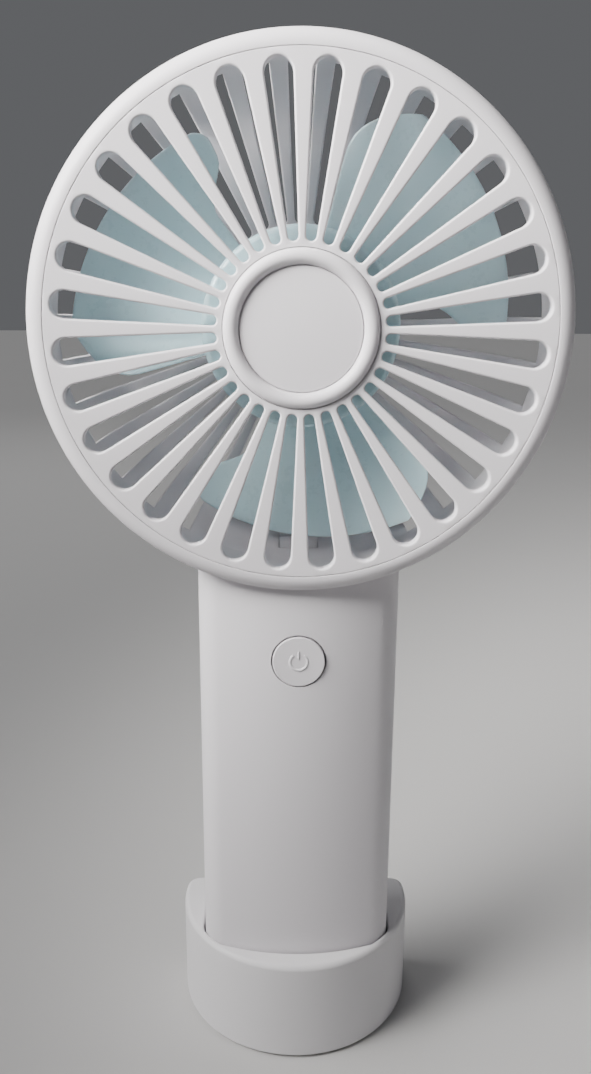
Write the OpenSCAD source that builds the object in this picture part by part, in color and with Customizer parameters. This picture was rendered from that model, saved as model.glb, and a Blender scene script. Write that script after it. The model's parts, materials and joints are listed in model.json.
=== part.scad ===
// Handheld electric fan standing in its cradle.
// Frame: origin on the floor under the middle of the cradle, +X right, +Y to the back, +Z up.
// Depths called "d" are counted from the head's front face towards the back.

/* [Head] */
// Outer diameter of the head
head_d = 99.6; // [80:0.2:125]
// Radius of the rounded front rim
rim_r = 3; // [1:0.25:4]
// Wall of the head, both the ring and the rear guard
head_wall = 2.2; // [1.6:0.1:3]
// Radius of the rounded corner between the head's side and its back
back_corner_r = 14; // [8:0.5:16]
// Depth of the joint between the front and the rear shell
joint_d = 16; // [13.5:0.5:18]

/* [Front grille] */
// Thickness of the slotted disc
grille_t = 2; // [1.4:0.1:3]
// Width of the head's rim outside the slotted disc
bezel_w = 3.4; // [2.6:0.1:4]
// Number of slots
slot_count = 32; // [20:1:36]
// Width of the plain band outside the slots
slot_margin = 4.8; // [4.6:0.1:8]
// Radius at which the slots start
slot_inner_r = 15.3; // [15:0.1:20]
// Angle that a slot fills
slot_angle = 6.7; // [4:0.1:7.5]
// Width of the ledge that the slotted disc rests on
ledge_w = 1; // [0.6:0.1:1.2]
// Thickness of that ledge
ledge_t = 1.6; // [1:0.1:2]

/* [Hub trim] */
// Outer radius of the raised hub ring
hub_ring_r = 14.2; // [12:0.1:14.4]
// Radial width of the hub ring
hub_ring_w = 2.95; // [2:0.05:4]
// Depth of the seat that the hub ring and the hub cap sit in
hub_seat = 0.8; // [0.4:0.1:1.2]
// Crown of the hub cap
hub_crown = 0.3; // [0.1:0.1:0.8]
// Radius of the hub cap's stub
stub_r = 2; // [1.5:0.1:3]

/* [Impeller] */
// Outer radius of the hub
hub_r = 18.5; // [17.9:0.1:20]
// Wall of the hub
hub_wall = 1.3; // [1:0.1:1.6]
// Length of the hub along its axis
hub_len = 14.5; // [12:0.5:15.5]
// Number of blades
blade_count = 3; // [2:1:4]
// Thickness of a blade
blade_t = 1.2; // [0.8:0.1:1.6]
// Gap between a blade's tip and the ring
tip_gap = 5.1; // [3:0.1:7]
// Radius of the boss on the motor shaft
boss_r = 3.2; // [2.4:0.1:3.2]

/* [Motor] */
// Diameter of the can
motor_d = 24.4; // [22:0.1:24.6]
// Length of the can
motor_len = 12.3; // [10.5:0.1:15]
// Wall of the can
can_wall = 0.8; // [0.6:0.1:1]
// Diameter of the shaft
shaft_d = 2; // [1.6:0.1:2.4]
// Diameter of the rotor
rotor_d = 16.2; // [14:0.1:17]
// Wall of the seat that the motor stands in
seat_wall = 1.5; // [1.2:0.1:1.8]
// Thickness of the plate that keeps the motor in its seat
retainer_t = 1.3; // [1:0.1:2]

/* [Rear guard] */
// Number of places for openings round the back
vent_count = 34; // [24:1:40]
// Angle that a rib between two openings fills
rib_angle = 4.2; // [3:0.1:5]
// Radius at which the openings start
vent_inner_r = 19.5; // [18:0.5:24]
// Width of the channel for the motor wires
channel_w = 9.2; // [7:0.2:10]
// Depth of that channel
channel_depth = 2.9; // [2.6:0.1:3.4]

/* [Handle] */
// Width of the handle
handle_w = 41.2; // [36:0.2:50]
// Radius of the handle's front
front_curve = 45; // [35:1:80]
// Radius of the handle's back
back_curve = 45; // [35:1:80]
// Radius of the handle's upright edges
corner_r = 7; // [5:0.5:8]
// Wall of the two shells
shell_wall = 2; // [1.6:0.1:2.4]
// Step from the head's face back to the handle's front
face_step = 3.2; // [3:0.1:5]

/* [Button] */
// Diameter of the power button
button_d = 10.5; // [8:0.1:12]
// Height of the button above the board's lower edge
button_up = 16.1; // [12:0.1:18]
// Travel of the button
button_travel = 0.4; // [0.2:0.05:0.5]

/* [Battery] */
// Diameter of the cell
battery_d = 18.4; // [14:0.1:22]
// Length of the cell
battery_len = 65; // [50:0.5:78]

/* [Board] */
// Width of the circuit board
board_w = 22; // [20:0.5:22.5]
// Height of the circuit board
board_h = 28.5; // [27:0.5:36]
// Thickness of the circuit board
board_t = 1.2; // [0.8:0.1:1.6]
// Width of the charging socket
socket_w = 9; // [7:0.1:9]
// Height of the charging socket
socket_h = 3.2; // [2.4:0.1:3.4]

/* [Cradle] */
// Height of the cradle
cradle_h = 23.6; // [16:0.2:30]
// Height of the floor that the handle stands on
cradle_floor = 4; // [3:0.1:6]
// Wall in front of the handle
cradle_front_wall = 4.7; // [4.5:0.1:6]
// Wall behind the handle
cradle_back_wall = 3.2; // [2:0.1:5]
// Least wall outside the handle's front corners
cradle_corner_wall = 1; // [0.8:0.1:1.2]
// Radius of the cradle's rear corners
cradle_corner_r = 3; // [2:0.5:4]
// Thickness of the anti-slip pad
pad_t = 1.5; // [1:0.1:2]

/* [Fits] */
// Gap between the handle and its socket in the cradle
socket_gap = 0.4; // [0.3:0.05:0.6]
// Gap between trim pieces and their seats
trim_gap = 0.1; // [0.05:0.05:0.2]
// Gap round the power button
button_gap = 0.3; // [0.3:0.05:0.5]
// Running clearance of the shaft in its bushings, on the radius
shaft_gap = 0.03; // [0.02:0.01:0.06]
// Gap round a fixed piece such as the cell or the motor
loose_gap = 0.15; // [0.1:0.05:0.3]

/* [Hidden] */
$fn = 64;
eps = 0.01;
far = 200;
head_r = head_d / 2;

// depths, counted from the head's front face
hub_front_gap = 3.5;
hub_face = 1.5;
rotor_space = 3.2;
motor_back_gap = 2;
hub_front_d = grille_t + hub_front_gap;
hub_back_d = hub_front_d + hub_len;
motor_front_d = hub_front_d + hub_face + rotor_space + retainer_t;
motor_back_d = motor_front_d + motor_len;
back_plate_d = motor_back_d + motor_back_gap;
head_depth = back_plate_d + head_wall;
ledge_back_d = grille_t + ledge_t;
battery_slack = 0.7;
handle_front_d = face_step;
handle_depth = battery_d + 2 * (shell_wall + battery_slack);
handle_back_d = handle_front_d + handle_depth;
handle_mid_d = handle_front_d + handle_depth / 2;

// the handle's outline: four corner arcs that run into a front and a back arc
corner_x = handle_w / 2 - corner_r;
front_centre_d = handle_front_d + front_curve;
back_centre_d = handle_back_d - back_curve;
front_corner_d = front_centre_d - sqrt(pow(front_curve - corner_r, 2) - pow(corner_x, 2));
back_corner_d = back_centre_d + sqrt(pow(back_curve - corner_r, 2) - pow(corner_x, 2));

// the cradle's outline: a round front that clears the handle's corners, cut flat at the back
cradle_front_d = handle_front_d - socket_gap - cradle_front_wall;
cradle_back_d = handle_back_d + socket_gap + cradle_back_wall;
corner_reach = corner_r + socket_gap + cradle_corner_wall;
corner_ahead = front_corner_d - cradle_front_d;
cradle_r = (pow(corner_x, 2) + pow(corner_ahead, 2) - pow(corner_reach, 2))
    / (2 * (corner_ahead - corner_reach));
cradle_centre_d = cradle_front_d + cradle_r;
y0 = -(cradle_front_d + cradle_back_d) / 2;

// heights
end_pad_t = 1.5;
tab_t = 0.3;
board_gap = 3;
neck_gap = 3;
handle_z = cradle_floor;
battery_z = handle_z + shell_wall + end_pad_t + tab_t;
board_z = battery_z + battery_len + board_gap;
button_z = board_z + button_up;
head_z = board_z + board_h + neck_gap + head_r;
neck_reach = 12;
handle_top = head_z - head_r + neck_reach;

// grille
grille_r = head_r - bezel_w - trim_gap;
slot_pitch = 360 / slot_count;
slot_end_r = head_r - slot_margin;
slot_outer_w = (slot_end_r * sin(slot_angle / 2)) / (1 + sin(slot_angle / 2));
slot_inner_w = (slot_inner_r * sin(slot_angle / 2)) / (1 - sin(slot_angle / 2));
clip_count = 4;
clip_w = 2.6;
clip_t = 1.1;
clip_hook = 0.6;
clip_len = 5.2;

// impeller blades
tip_r = head_r - head_wall - tip_gap;
root_r = hub_r - hub_wall / 2;
blade_steps = 14;
span_steps = 8;
blade_rest_angle = -3;
sweep_root = 11;
blade_span_angle = 79;
tip_round = 16;
corner_round = 6;
tip_cut = 1.5;
blade_front_d = hub_front_d + 1.2;
blade_back_d = hub_back_d - 0.8;
camber = 1.1;

// rear guard
vent_pitch = 360 / vent_count;
vent_front_d = joint_d + 1;
vent_end_r = 1.2;
neck_vents = 2;
channel_vents = 1;
short_vent_r = head_r - neck_reach - 1;
channel_wall = 1.2;
channel_front_d = back_plate_d - channel_depth;
channel_end = neck_reach - 2.8;
cover_t = 1;
cover_gap = 0.2;
cover_ledge = 0.4;
wire_hole_front_d = joint_d + 3.5;

// motor
motor_r = motor_d / 2;
can_r = motor_r - can_wall;
shaft_r = shaft_d / 2;
rotor_r = rotor_d / 2;
seat_r = motor_r + loose_gap;
ear_x = seat_r + seat_wall + 0.7;
ear_r = 2;
bushing_r = 2.2;
bushing_len = 1.9;
nose_r = 3;
nose_len = 0.9;
rear_boss_len = 0.8;
shaft_front_d = hub_front_d + 1.3;
shaft_back_d = motor_back_d + 0.5;
boss_back_d = motor_front_d - retainer_t - 0.4;
retainer_hole_r = 3.6;
screw_r = 0.9;
screw_head_r = 1.7;
screw_head_t = 1.2;
screw_depth = 6;
thread_gap = 0.05;
rotor_gap = 0.4;
commutator_r = 2;
commutator_len = 1.5;
commutator_d = motor_back_d - 2.9;
magnet_front_d = motor_front_d + can_wall + 0.9;
magnet_len = commutator_d - 0.4 - magnet_front_d;
coil_t = 1.1;
core_d = motor_front_d + 3;
core_len = commutator_d - 0.5 - coil_t - core_d;
brush_gap = 0.1;
brush_t = 0.3;
end_cap_t = 1;
terminal_x = 4;
terminal_z = 7;
terminal_w = 2;
core_hub_r = 3;
tooth_w = 2.6;
shoe_t = 1.3;
shoe_angle = 96;
pole_count = 3;
motor_wire_x = 2.4;

// case screws
case_boss_r = 2.6;
case_boss_x = handle_w / 2 - shell_wall - case_boss_r - 1.6;
case_screw_z = [battery_z + 24, board_z + board_h - 5];
case_screw_head_r = 1.6;
case_screw_recess = 2.4;
case_screw_len = 8;

// saddles for the cell, and its tabs
saddle_x = 8.5;
saddle_rise = 4.5;
saddle_t = 1.2;
tab_w = 4;
tab_reach = 2.2;

// pad under the cradle
pad_recess = 1;
pad_inset = 1.2;

// board
board_d = 14;
post_x = 8;
post_r = 2;
post_edge = 3;
switch_w = 6;
switch_t = 3.5;
switch_d = board_d - switch_t;
plunger_r = 1.7;
plunger_gap = 0.05;
plunger_out = button_travel + 0.4;
plunger_len = 2.3;
flange_t = 0.8;
flange_w = 1.2;
sleeve_w = 1.2;
sleeve_r = button_d / 2 + button_gap + sleeve_w;
sleeve_len = 2.8;
button_proud = 0.2;
sleeve_back_d = handle_front_d + shell_wall + sleeve_len;
flange_d = sleeve_back_d + button_gap;
button_front_d = handle_front_d - button_proud;
socket_up = 6;
socket_gap_d = 0.35;
socket_wall = 0.4;
socket_back_d = handle_back_d - 0.5;
light_up = 13;
light_r = 1;
light_len = 1.4;
wire_r = 0.6;
wire_run_d = channel_front_d + cover_t + wire_r + 0.1;
wire_end_d = motor_back_d + 0.4 + wire_r + 0.1;

// ---------- helpers ----------

// A shape drawn in X and Z round the head's centre, as a slab between two depths
module slab(front, back) {
    translate([0, y0 + back, head_z]) rotate([90, 0, 0]) linear_extrude(back - front) children();
}

// A profile of radius and depth, turned round the head's axis
module turned() {
    translate([0, y0, head_z]) rotate([-90, 0, 0]) rotate_extrude($fn = 128) children();
}

// A rod along Y between two depths, at a place in X and Z
module rod(x, z, r, front, back) {
    translate([x, y0 + front, z]) rotate([-90, 0, 0]) cylinder(r = r, h = back - front);
}

// A block given by its lowest and highest corners, with depths in the middle place
module block(low, high) {
    translate([low[0], y0 + low[1], low[2]]) cube(high - low);
}

module front_side() { block([-far, -far, -far], [far, joint_d, 2 * far]); }
module rear_side() { block([-far, joint_d, -far], [far, far, 2 * far]); }

// A round wire through points given as [x, depth, z]: one ring of corners at each point
wire_sides = 8;
function way(points, i) = let (n = len(points),
    v = points[min(i + 1, n - 1)] - points[max(i - 1, 0)]) v / norm(v);
module wire(points, r) {
    n = len(points);
    rings = [for (i = [0:n - 1])
        let (t = way(points, i), s = cross(t, [0, 1, 0]) / norm(cross(t, [0, 1, 0])), u = cross(s, t))
        for (k = [0:wire_sides - 1])
            let (a = k * 360 / wire_sides) points[i] + [0, y0, 0] + r * (cos(a) * s + sin(a) * u)];
    faces = concat([[for (k = [0:wire_sides - 1]) k]],
        [for (i = [0:n - 2], k = [0:wire_sides - 1])
            let (a = i * wire_sides + k, b = i * wire_sides + (k + 1) % wire_sides)
            [a, a + wire_sides, b + wire_sides, b]],
        [[for (k = [wire_sides - 1:-1:0]) (n - 1) * wire_sides + k]]);
    polyhedron(rings, faces, convexity = 4);
}

// ---------- outlines ----------

// Half section of the head, as radius and depth
module head_section(inset, front) {
    r = head_r - inset;
    arc = back_corner_r - inset;
    translate([0, front]) square([r, head_depth - back_corner_r - front]);
    translate([0, front]) square([head_r - back_corner_r, head_depth - inset - front]);
    translate([head_r - back_corner_r, head_depth - back_corner_r]) circle(r = arc, $fn = 128);
}

module head_solid() {
    turned() {
        head_section(0, rim_r);
        square([head_r - rim_r, rim_r + eps]);
        translate([head_r - rim_r, rim_r]) circle(r = rim_r);
    }
}

module head_room() { turned() head_section(head_wall, ledge_back_d); }

// A trapezoid between the corner arcs, bounded by the rays from the big arc's centre
module arc_cap(centre, radius, corner, inset) {
    reach = (radius + 5) / (radius - corner_r);
    side = centre - corner;
    intersection() {
        translate([0, centre]) circle(r = radius - inset, $fn = 256);
        polygon([[-corner_x, corner], [corner_x, corner],
            [corner_x * reach, centre - side * reach], [-corner_x * reach, centre - side * reach]]);
    }
}

// The handle's outline in X and depth, moved inwards by the inset
module handle_outline(inset) {
    for (x = [-corner_x, corner_x], d = [front_corner_d, back_corner_d])
        translate([x, d]) circle(r = corner_r - inset);
    translate([inset - handle_w / 2, front_corner_d])
        square([handle_w - 2 * inset, back_corner_d - front_corner_d]);
    lap = (corner_r - inset) / 2;
    translate([-corner_x, front_corner_d - lap])
        square([2 * corner_x, back_corner_d - front_corner_d + 2 * lap]);
    arc_cap(front_centre_d, front_curve, front_corner_d, inset);
    arc_cap(back_centre_d, back_curve, back_corner_d, inset);
}

module handle_column(inset, bottom, top) {
    translate([0, y0, bottom]) linear_extrude(top - bottom) handle_outline(inset);
}

// The handle's inside, up to the outside of the head
module handle_room() {
    difference() {
        handle_column(shell_wall, handle_z + shell_wall, handle_top);
        head_solid();
    }
}

// The handle and the head as one solid, hollowed
module body_skin() {
    difference() {
        union() {
            head_solid();
            handle_column(0, handle_z, handle_top);
        }
        head_room();
        handle_room();
    }
}

// ---------- cradle ----------

module cradle_outline(inset) {
    r = cradle_r - inset;
    back = cradle_back_d - inset;
    c = cradle_corner_r - inset;
    corner_d = back - c;
    corner_cx = sqrt(pow(r - c, 2) - pow(corner_d - cradle_centre_d, 2));
    lean = [corner_cx, corner_d - cradle_centre_d] / (r - c);
    intersection() {
        translate([0, cradle_centre_d]) circle(r = r, $fn = 192);
        polygon([[-far, -far], [far, -far], [r * lean[0] + far, cradle_centre_d + r * lean[1]],
            [r * lean[0], cradle_centre_d + r * lean[1]], [corner_cx, back], [-corner_cx, back],
            [-r * lean[0], cradle_centre_d + r * lean[1]],
            [-r * lean[0] - far, cradle_centre_d + r * lean[1]]]);
    }
    for (x = [-corner_cx, corner_cx]) translate([x, corner_d]) circle(r = c);
}

module base_cup() {
    pad_proud = pad_t - pad_recess;
    color([0.90, 0.89, 0.90]) difference() {
        translate([0, y0, pad_proud]) linear_extrude(cradle_h - pad_proud) cradle_outline(0);
        handle_column(-socket_gap, cradle_floor, cradle_h + 1);
        translate([0, y0, 0]) linear_extrude(pad_t) cradle_outline(pad_inset);
    }
}

module base_pad() {
    color([0.75, 0.75, 0.76])
        translate([0, y0, 0]) linear_extrude(pad_t) cradle_outline(pad_inset + trim_gap);
}

// ---------- shells ----------

// Depth of the handle's front and back surface at a place across it, moved inwards by the inset
function front_at(x, inset) = x < corner_x
    ? front_centre_d - sqrt(pow(front_curve - inset, 2) - x * x)
    : front_corner_d - sqrt(pow(corner_r - inset, 2) - pow(x - corner_x, 2));
function back_at(x, inset) = x < corner_x
    ? back_centre_d + sqrt(pow(back_curve - inset, 2) - x * x)
    : back_corner_d + sqrt(pow(corner_r - inset, 2) - pow(x - corner_x, 2));
// Depth inside the wall at which a boss of radius r can start, so that it joins the wall all round
function boss_front(x, r) = (front_at(x + r, 0) + front_at(max(0, x - r), shell_wall)) / 2;
function boss_back(x, r) = (back_at(x + r, 0) + back_at(max(0, x - r), shell_wall)) / 2;

// Depth that the heads of the case screws lie at
case_seat_d = back_at(case_boss_x + case_screw_head_r, 0) - case_screw_recess;

// Two saddles that the cell lies in, on one side of the handle's inside
module saddles(front, back) {
    for (up = [0.18, 0.82]) difference() {
        z = battery_z + up * battery_len;
        intersection() {
            handle_column(shell_wall - eps, z, z + saddle_t);
            block([-saddle_x, front, z], [saddle_x, back, z + saddle_t]);
        }
        translate([0, y0 + handle_mid_d, z - 1])
            cylinder(r = battery_d / 2 + loose_gap, h = saddle_t + 2);
    }
}

module front_shell() {
    seat_step_r = grille_r + trim_gap;
    color([0.91, 0.90, 0.91]) difference() {
        union() {
            intersection() {
                body_skin();
                front_side();
            }
            for (x = [-case_boss_x, case_boss_x], z = case_screw_z)
                rod(x, z, case_boss_r, boss_front(case_boss_x, case_boss_r), joint_d, $fn = 8);
            for (x = [-post_x, post_x], z = [board_z + post_edge, board_z + board_h - post_edge])
                rod(x, z, post_r, boss_front(post_x, post_r), board_d);
            rod(0, button_z, sleeve_r, boss_front(0, sleeve_r), sleeve_back_d);
            saddles(handle_front_d, handle_front_d + shell_wall + saddle_rise);
        }
        // seat of the slotted disc, and the air path through its ledge
        turned() translate([0, -1]) square([seat_step_r, grille_t + 1]);
        turned() translate([0, grille_t - eps]) square([seat_step_r - ledge_w, ledge_t + 2 * eps]);
        rod(0, button_z, button_d / 2 + button_gap, 0, sleeve_back_d + eps);
        for (x = [-case_boss_x, case_boss_x], z = case_screw_z)
            rod(x, z, screw_r + thread_gap, case_seat_d - case_screw_len - 1, joint_d + 1);
        for (x = [-post_x, post_x], z = [board_z + post_edge, board_z + board_h - post_edge])
            rod(x, z, screw_r + thread_gap, board_d + board_t - screw_depth - 1, board_d + 1);
    }
}

// One opening of the guard: a wedge with a round inner end, from the side's corner to the back
module vent(outer) {
    half = (vent_pitch - rib_angle) / 2;
    slab(vent_front_d, head_depth + 1) {
        intersection() {
            polygon([[0, 0], [far, far * tan(half)], [far, -far * tan(half)]]);
            translate([vent_inner_r + vent_end_r, -far / 2]) square([outer - vent_inner_r, far]);
        }
        translate([vent_inner_r + vent_end_r, 0]) circle(r = (vent_inner_r + vent_end_r) * sin(half));
    }
}

module vents() {
    middle = vent_count / 2;
    for (i = [0:vent_count - 1]) {
        off = abs(i - middle);
        if (off > channel_vents)
            translate([0, 0, head_z]) rotate([0, -90 - i * vent_pitch, 0]) translate([0, 0, -head_z])
                vent(off > neck_vents ? far / 2 : short_vent_r);
    }
}

module rear_shell() {
    half_channel = channel_w / 2;
    color([0.90, 0.89, 0.90]) difference() {
        union() {
            intersection() {
                body_skin();
                rear_side();
            }
            for (x = [-case_boss_x, case_boss_x], z = case_screw_z)
                rod(x, z, case_boss_r, joint_d, boss_back(case_boss_x, case_boss_r), $fn = 8);
            saddles(handle_back_d - shell_wall - saddle_rise, handle_back_d);
            // seat of the motor, with an ear for each retainer screw
            turned() translate([0, motor_front_d])
                square([seat_r + seat_wall, back_plate_d - motor_front_d + eps]);
            for (x = [-ear_x, ear_x]) rod(x, head_z, ear_r, motor_front_d, back_plate_d + eps);
            // walls and ledges of the wire channel
            intersection() {
                for (s = [-1, 1]) {
                    block([s * (half_channel + channel_wall / 2) - channel_wall / 2, channel_front_d,
                        head_z - head_r + channel_end],
                        [s * (half_channel + channel_wall / 2) + channel_wall / 2, back_plate_d + eps,
                        head_z - seat_r]);
                    block([s * (half_channel - cover_ledge / 2) - cover_ledge / 2,
                        channel_front_d + cover_t, head_z - head_r + channel_end],
                        [s * (half_channel - cover_ledge / 2) + cover_ledge / 2,
                        back_plate_d + eps, head_z - seat_r]);
                }
                head_solid();
            }
        }
        vents();
        // the motor's room, and the way out of it for the wires
        rod(0, head_z, seat_r, motor_front_d - 1, back_plate_d);
        block([cover_ledge - half_channel, channel_front_d + cover_t, head_z - seat_r - seat_wall - 1],
            [half_channel - cover_ledge, back_plate_d, head_z]);
        // the hole that the wires take through the neck
        block([cover_ledge - half_channel, wire_hole_front_d, head_z - head_r - 1],
            [half_channel - cover_ledge, wire_run_d + wire_r + 0.2, head_z - head_r + neck_reach]);
        for (x = [-ear_x, ear_x])
            rod(x, head_z, screw_r + thread_gap, motor_front_d - 1, motor_front_d + screw_depth);
        for (x = [-case_boss_x, case_boss_x], z = case_screw_z) {
            rod(x, z, screw_r + 2 * thread_gap, joint_d - 1, handle_back_d);
            rod(x, z, case_screw_head_r + loose_gap, case_seat_d, handle_back_d + 1);
        }
        // mouth of the charging socket, and the light pipe's hole
        translate([0, y0 + handle_back_d - shell_wall - 1, board_z + socket_up]) rotate([-90, 0, 0])
            linear_extrude(shell_wall + 2) pill(socket_w + 2 * socket_gap_d, socket_h + 2 * socket_gap_d);
        rod(0, board_z + light_up, light_r, handle_back_d - shell_wall - 1, handle_back_d + 1);
    }
}

// ---------- grille and hub trim ----------

module slot_outline() {
    inner_x = slot_inner_r + slot_inner_w;
    outer_x = slot_end_r - slot_outer_w;
    lean = (slot_outer_w - slot_inner_w) / (outer_x - inner_x);
    across = sqrt(1 - pow(lean, 2));
    translate([inner_x, 0]) circle(r = slot_inner_w);
    translate([outer_x, 0]) circle(r = slot_outer_w);
    polygon([[inner_x - slot_inner_w * lean, slot_inner_w * across],
        [outer_x - slot_outer_w * lean, slot_outer_w * across],
        [outer_x - slot_outer_w * lean, -slot_outer_w * across],
        [inner_x - slot_inner_w * lean, -slot_inner_w * across]]);
}

module front_grille() {
    clip_r = grille_r - ledge_w - clip_t / 2;
    color([0.93, 0.92, 0.93]) {
        difference() {
            slab(0, grille_t) difference() {
                circle(r = grille_r, $fn = 192);
                for (i = [0:slot_count - 1]) rotate((i + 0.5) * slot_pitch) slot_outline();
                circle(r = stub_r + trim_gap);
            }
            rod(0, head_z, hub_ring_r + trim_gap, -1, hub_seat);
        }
        for (i = [0:clip_count - 1])
            translate([0, y0, head_z]) rotate([0, i * 360 / clip_count, 0]) {
                translate([clip_r - clip_t / 2 - trim_gap, grille_t - eps, -clip_w / 2])
                    cube([clip_t, clip_len - grille_t, clip_w]);
                translate([clip_r + clip_t / 2 - trim_gap - eps, ledge_back_d + trim_gap, -clip_w / 2])
                    cube([clip_hook, clip_len - ledge_back_d - trim_gap, clip_w]);
            }
    }
}

module hub_ring() {
    half = hub_ring_w / 2;
    color([0.92, 0.91, 0.92]) turned() {
        translate([hub_ring_r - hub_ring_w, hub_seat / 2]) square([hub_ring_w, hub_seat / 2]);
        intersection() {
            translate([hub_ring_r - half, hub_seat / 2]) circle(r = half);
            translate([0, -far + hub_seat / 2 + eps]) square([far, far]);
        }
    }
}

module hub_cap() {
    r = hub_ring_r - hub_ring_w - trim_gap;
    steps = 8;
    crown = [for (i = [0:steps]) [r * i / steps, -hub_crown * (1 - pow(i / steps, 2))]];
    color([0.93, 0.92, 0.93]) turned() {
        polygon(concat(crown, [[r, hub_seat], [0, hub_seat]]));
        square([stub_r, grille_t + 1]);
    }
}

// ---------- impeller ----------

function ramp(t) = let (c = min(1, max(0, t))) c * c * (3 - 2 * c);
// share of the way from hub to tip
function span_at(r) = (r - hub_r) / (tip_r - hub_r);
// angle of the leading edge (at the back) and of the trailing edge (at the front)
function lead_angle(r) = sweep_root * (1 - ramp((span_at(r) - 0.31) / 0.38))
    + corner_round * pow(max(0, span_at(r) - 0.79) / 0.17, 3);
function trail_angle(r) = blade_span_angle
    - tip_round * pow(max(0, span_at(r) - 0.48) / 0.52, 2.5);
// the tip's radius is a little less at the leading corner, where the guard closes in
function tip_at(u) = tip_r - tip_cut * pow(1 - u, 2);
function blade_point(u, v, side) =
    let (r = root_r + v * (tip_at(u) - root_r),
         lead = lead_angle(r),
         a = lead + u * (trail_angle(r) - lead),
         d = blade_back_d + u * (blade_front_d - blade_back_d) + camber * 4 * u * (1 - u)
             + side * blade_t / 2)
    [r * cos(a), y0 + d, r * sin(a)];

module blade() {
    nu = blade_steps + 1;
    nv = span_steps + 1;
    points = [for (side = [-1, 1], v = [0:span_steps], u = [0:blade_steps])
        blade_point(u / blade_steps, v / span_steps, side)];
    back = nu * nv;
    rim = concat([for (u = [0:blade_steps - 1]) u],
        [for (v = [0:span_steps - 1]) v * nu + blade_steps],
        [for (u = [blade_steps:-1:1]) span_steps * nu + u],
        [for (v = [span_steps:-1:1]) v * nu]);
    n = len(rim);
    faces = concat(
        [for (v = [0:span_steps - 1], u = [0:blade_steps - 1], half = [0, 1])
            let (a = v * nu + u, b = a + 1, c = a + nu + 1, e = a + nu)
            half == 0 ? [a, b, c] : [a, c, e]],
        [for (v = [0:span_steps - 1], u = [0:blade_steps - 1], half = [0, 1])
            let (a = back + v * nu + u, b = a + 1, c = a + nu + 1, e = a + nu)
            half == 0 ? [a, c, b] : [a, e, c]],
        [for (i = [0:n - 1], half = [0, 1])
            let (p = rim[i], q = rim[(i + 1) % n])
            half == 0 ? [p, p + back, q] : [q, p + back, q + back]]);
    translate([0, 0, head_z]) polyhedron(points, faces, convexity = 4);
}

module impeller() {
    edge = 1.2;
    color([0.66, 0.83, 0.88]) {
        turned() difference() {
            union() {
                translate([0, hub_front_d + edge]) square([hub_r, hub_len - edge]);
                translate([0, hub_front_d]) square([hub_r - edge, hub_len]);
                translate([hub_r - edge, hub_front_d + edge]) circle(r = edge);
            }
            translate([boss_r, hub_front_d + hub_face]) square([hub_r - hub_wall - boss_r, far]);
            translate([0, boss_back_d]) square([boss_r + 1, far]);
            translate([0, shaft_front_d]) square([shaft_r, far]);
        }
        for (i = [0:blade_count - 1])
            translate([0, 0, head_z])
                rotate([0, -blade_rest_angle - i * 360 / blade_count, 0])
                    translate([0, 0, -head_z]) blade();
    }
}

// ---------- motor ----------

module motor_can() {
    color([0.72, 0.73, 0.75]) turned() difference() {
        union() {
            translate([0, motor_front_d]) square([motor_r, motor_len]);
            translate([0, motor_front_d - nose_len]) square([nose_r, nose_len + eps]);
        }
        translate([0, motor_front_d + can_wall]) square([can_r, far]);
        translate([0, -far / 2]) square([bushing_r, far]);
    }
}

module motor_end_cap() {
    color([0.22, 0.22, 0.23]) difference() {
        turned() difference() {
            union() {
                translate([0, motor_back_d - end_cap_t]) square([can_r, end_cap_t]);
                translate([0, motor_back_d - eps]) square([nose_r, rear_boss_len]);
            }
            square([bushing_r, far]);
        }
        for (s = [-1, 1]) block([s * terminal_x - terminal_w / 2 - trim_gap, 0, head_z - terminal_z - 0.6],
            [s * terminal_x + terminal_w / 2 + trim_gap, far, head_z - terminal_z + 0.6]);
    }
}

module motor_shaft() {
    color([0.80, 0.81, 0.83]) rod(0, head_z, shaft_r, shaft_front_d, shaft_back_d);
}

module bushing(front, length) {
    color([0.72, 0.55, 0.30]) turned() translate([shaft_r + shaft_gap, front])
        square([bushing_r - shaft_r - shaft_gap, length]);
}

module front_bushing() { bushing(motor_front_d - nose_len, bushing_len); }
module rear_bushing() { bushing(motor_back_d + rear_boss_len - bushing_len, bushing_len); }

// A sector of a ring, centred on +X
module sector(inner, outer, angle) {
    half = angle / 2;
    intersection() {
        difference() {
            circle(r = outer);
            circle(r = inner);
        }
        polygon([[0, 0], [far * cos(half), far * sin(half)], [2 * far, 0],
            [far * cos(half), -far * sin(half)]]);
    }
}

module rotor_core() {
    color([0.45, 0.46, 0.48]) slab(core_d, core_d + core_len) difference() {
        union() {
            circle(r = core_hub_r);
            for (i = [0:pole_count - 1]) rotate(90 + i * 360 / pole_count) {
                translate([0, -tooth_w / 2]) square([rotor_r - shoe_t / 2, tooth_w]);
                sector(rotor_r - shoe_t, rotor_r, shoe_angle);
            }
        }
        circle(r = shaft_r);
    }
}

module rotor_windings() {
    inner = core_hub_r + coil_t;
    half = tooth_w / 2 + coil_t;
    outer = sqrt(pow(rotor_r - shoe_t - 0.2, 2) - half * half);
    color([0.72, 0.40, 0.22]) difference() {
        slab(core_d - coil_t, core_d + core_len + coil_t)
            for (i = [0:pole_count - 1]) rotate(90 + i * 360 / pole_count)
                translate([inner, -tooth_w / 2 - coil_t]) square([outer - inner, tooth_w + 2 * coil_t]);
        slab(core_d, core_d + core_len)
            for (i = [0:pole_count - 1]) rotate(90 + i * 360 / pole_count)
                translate([0, -tooth_w / 2]) square([rotor_r, tooth_w]);
    }
}

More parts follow.
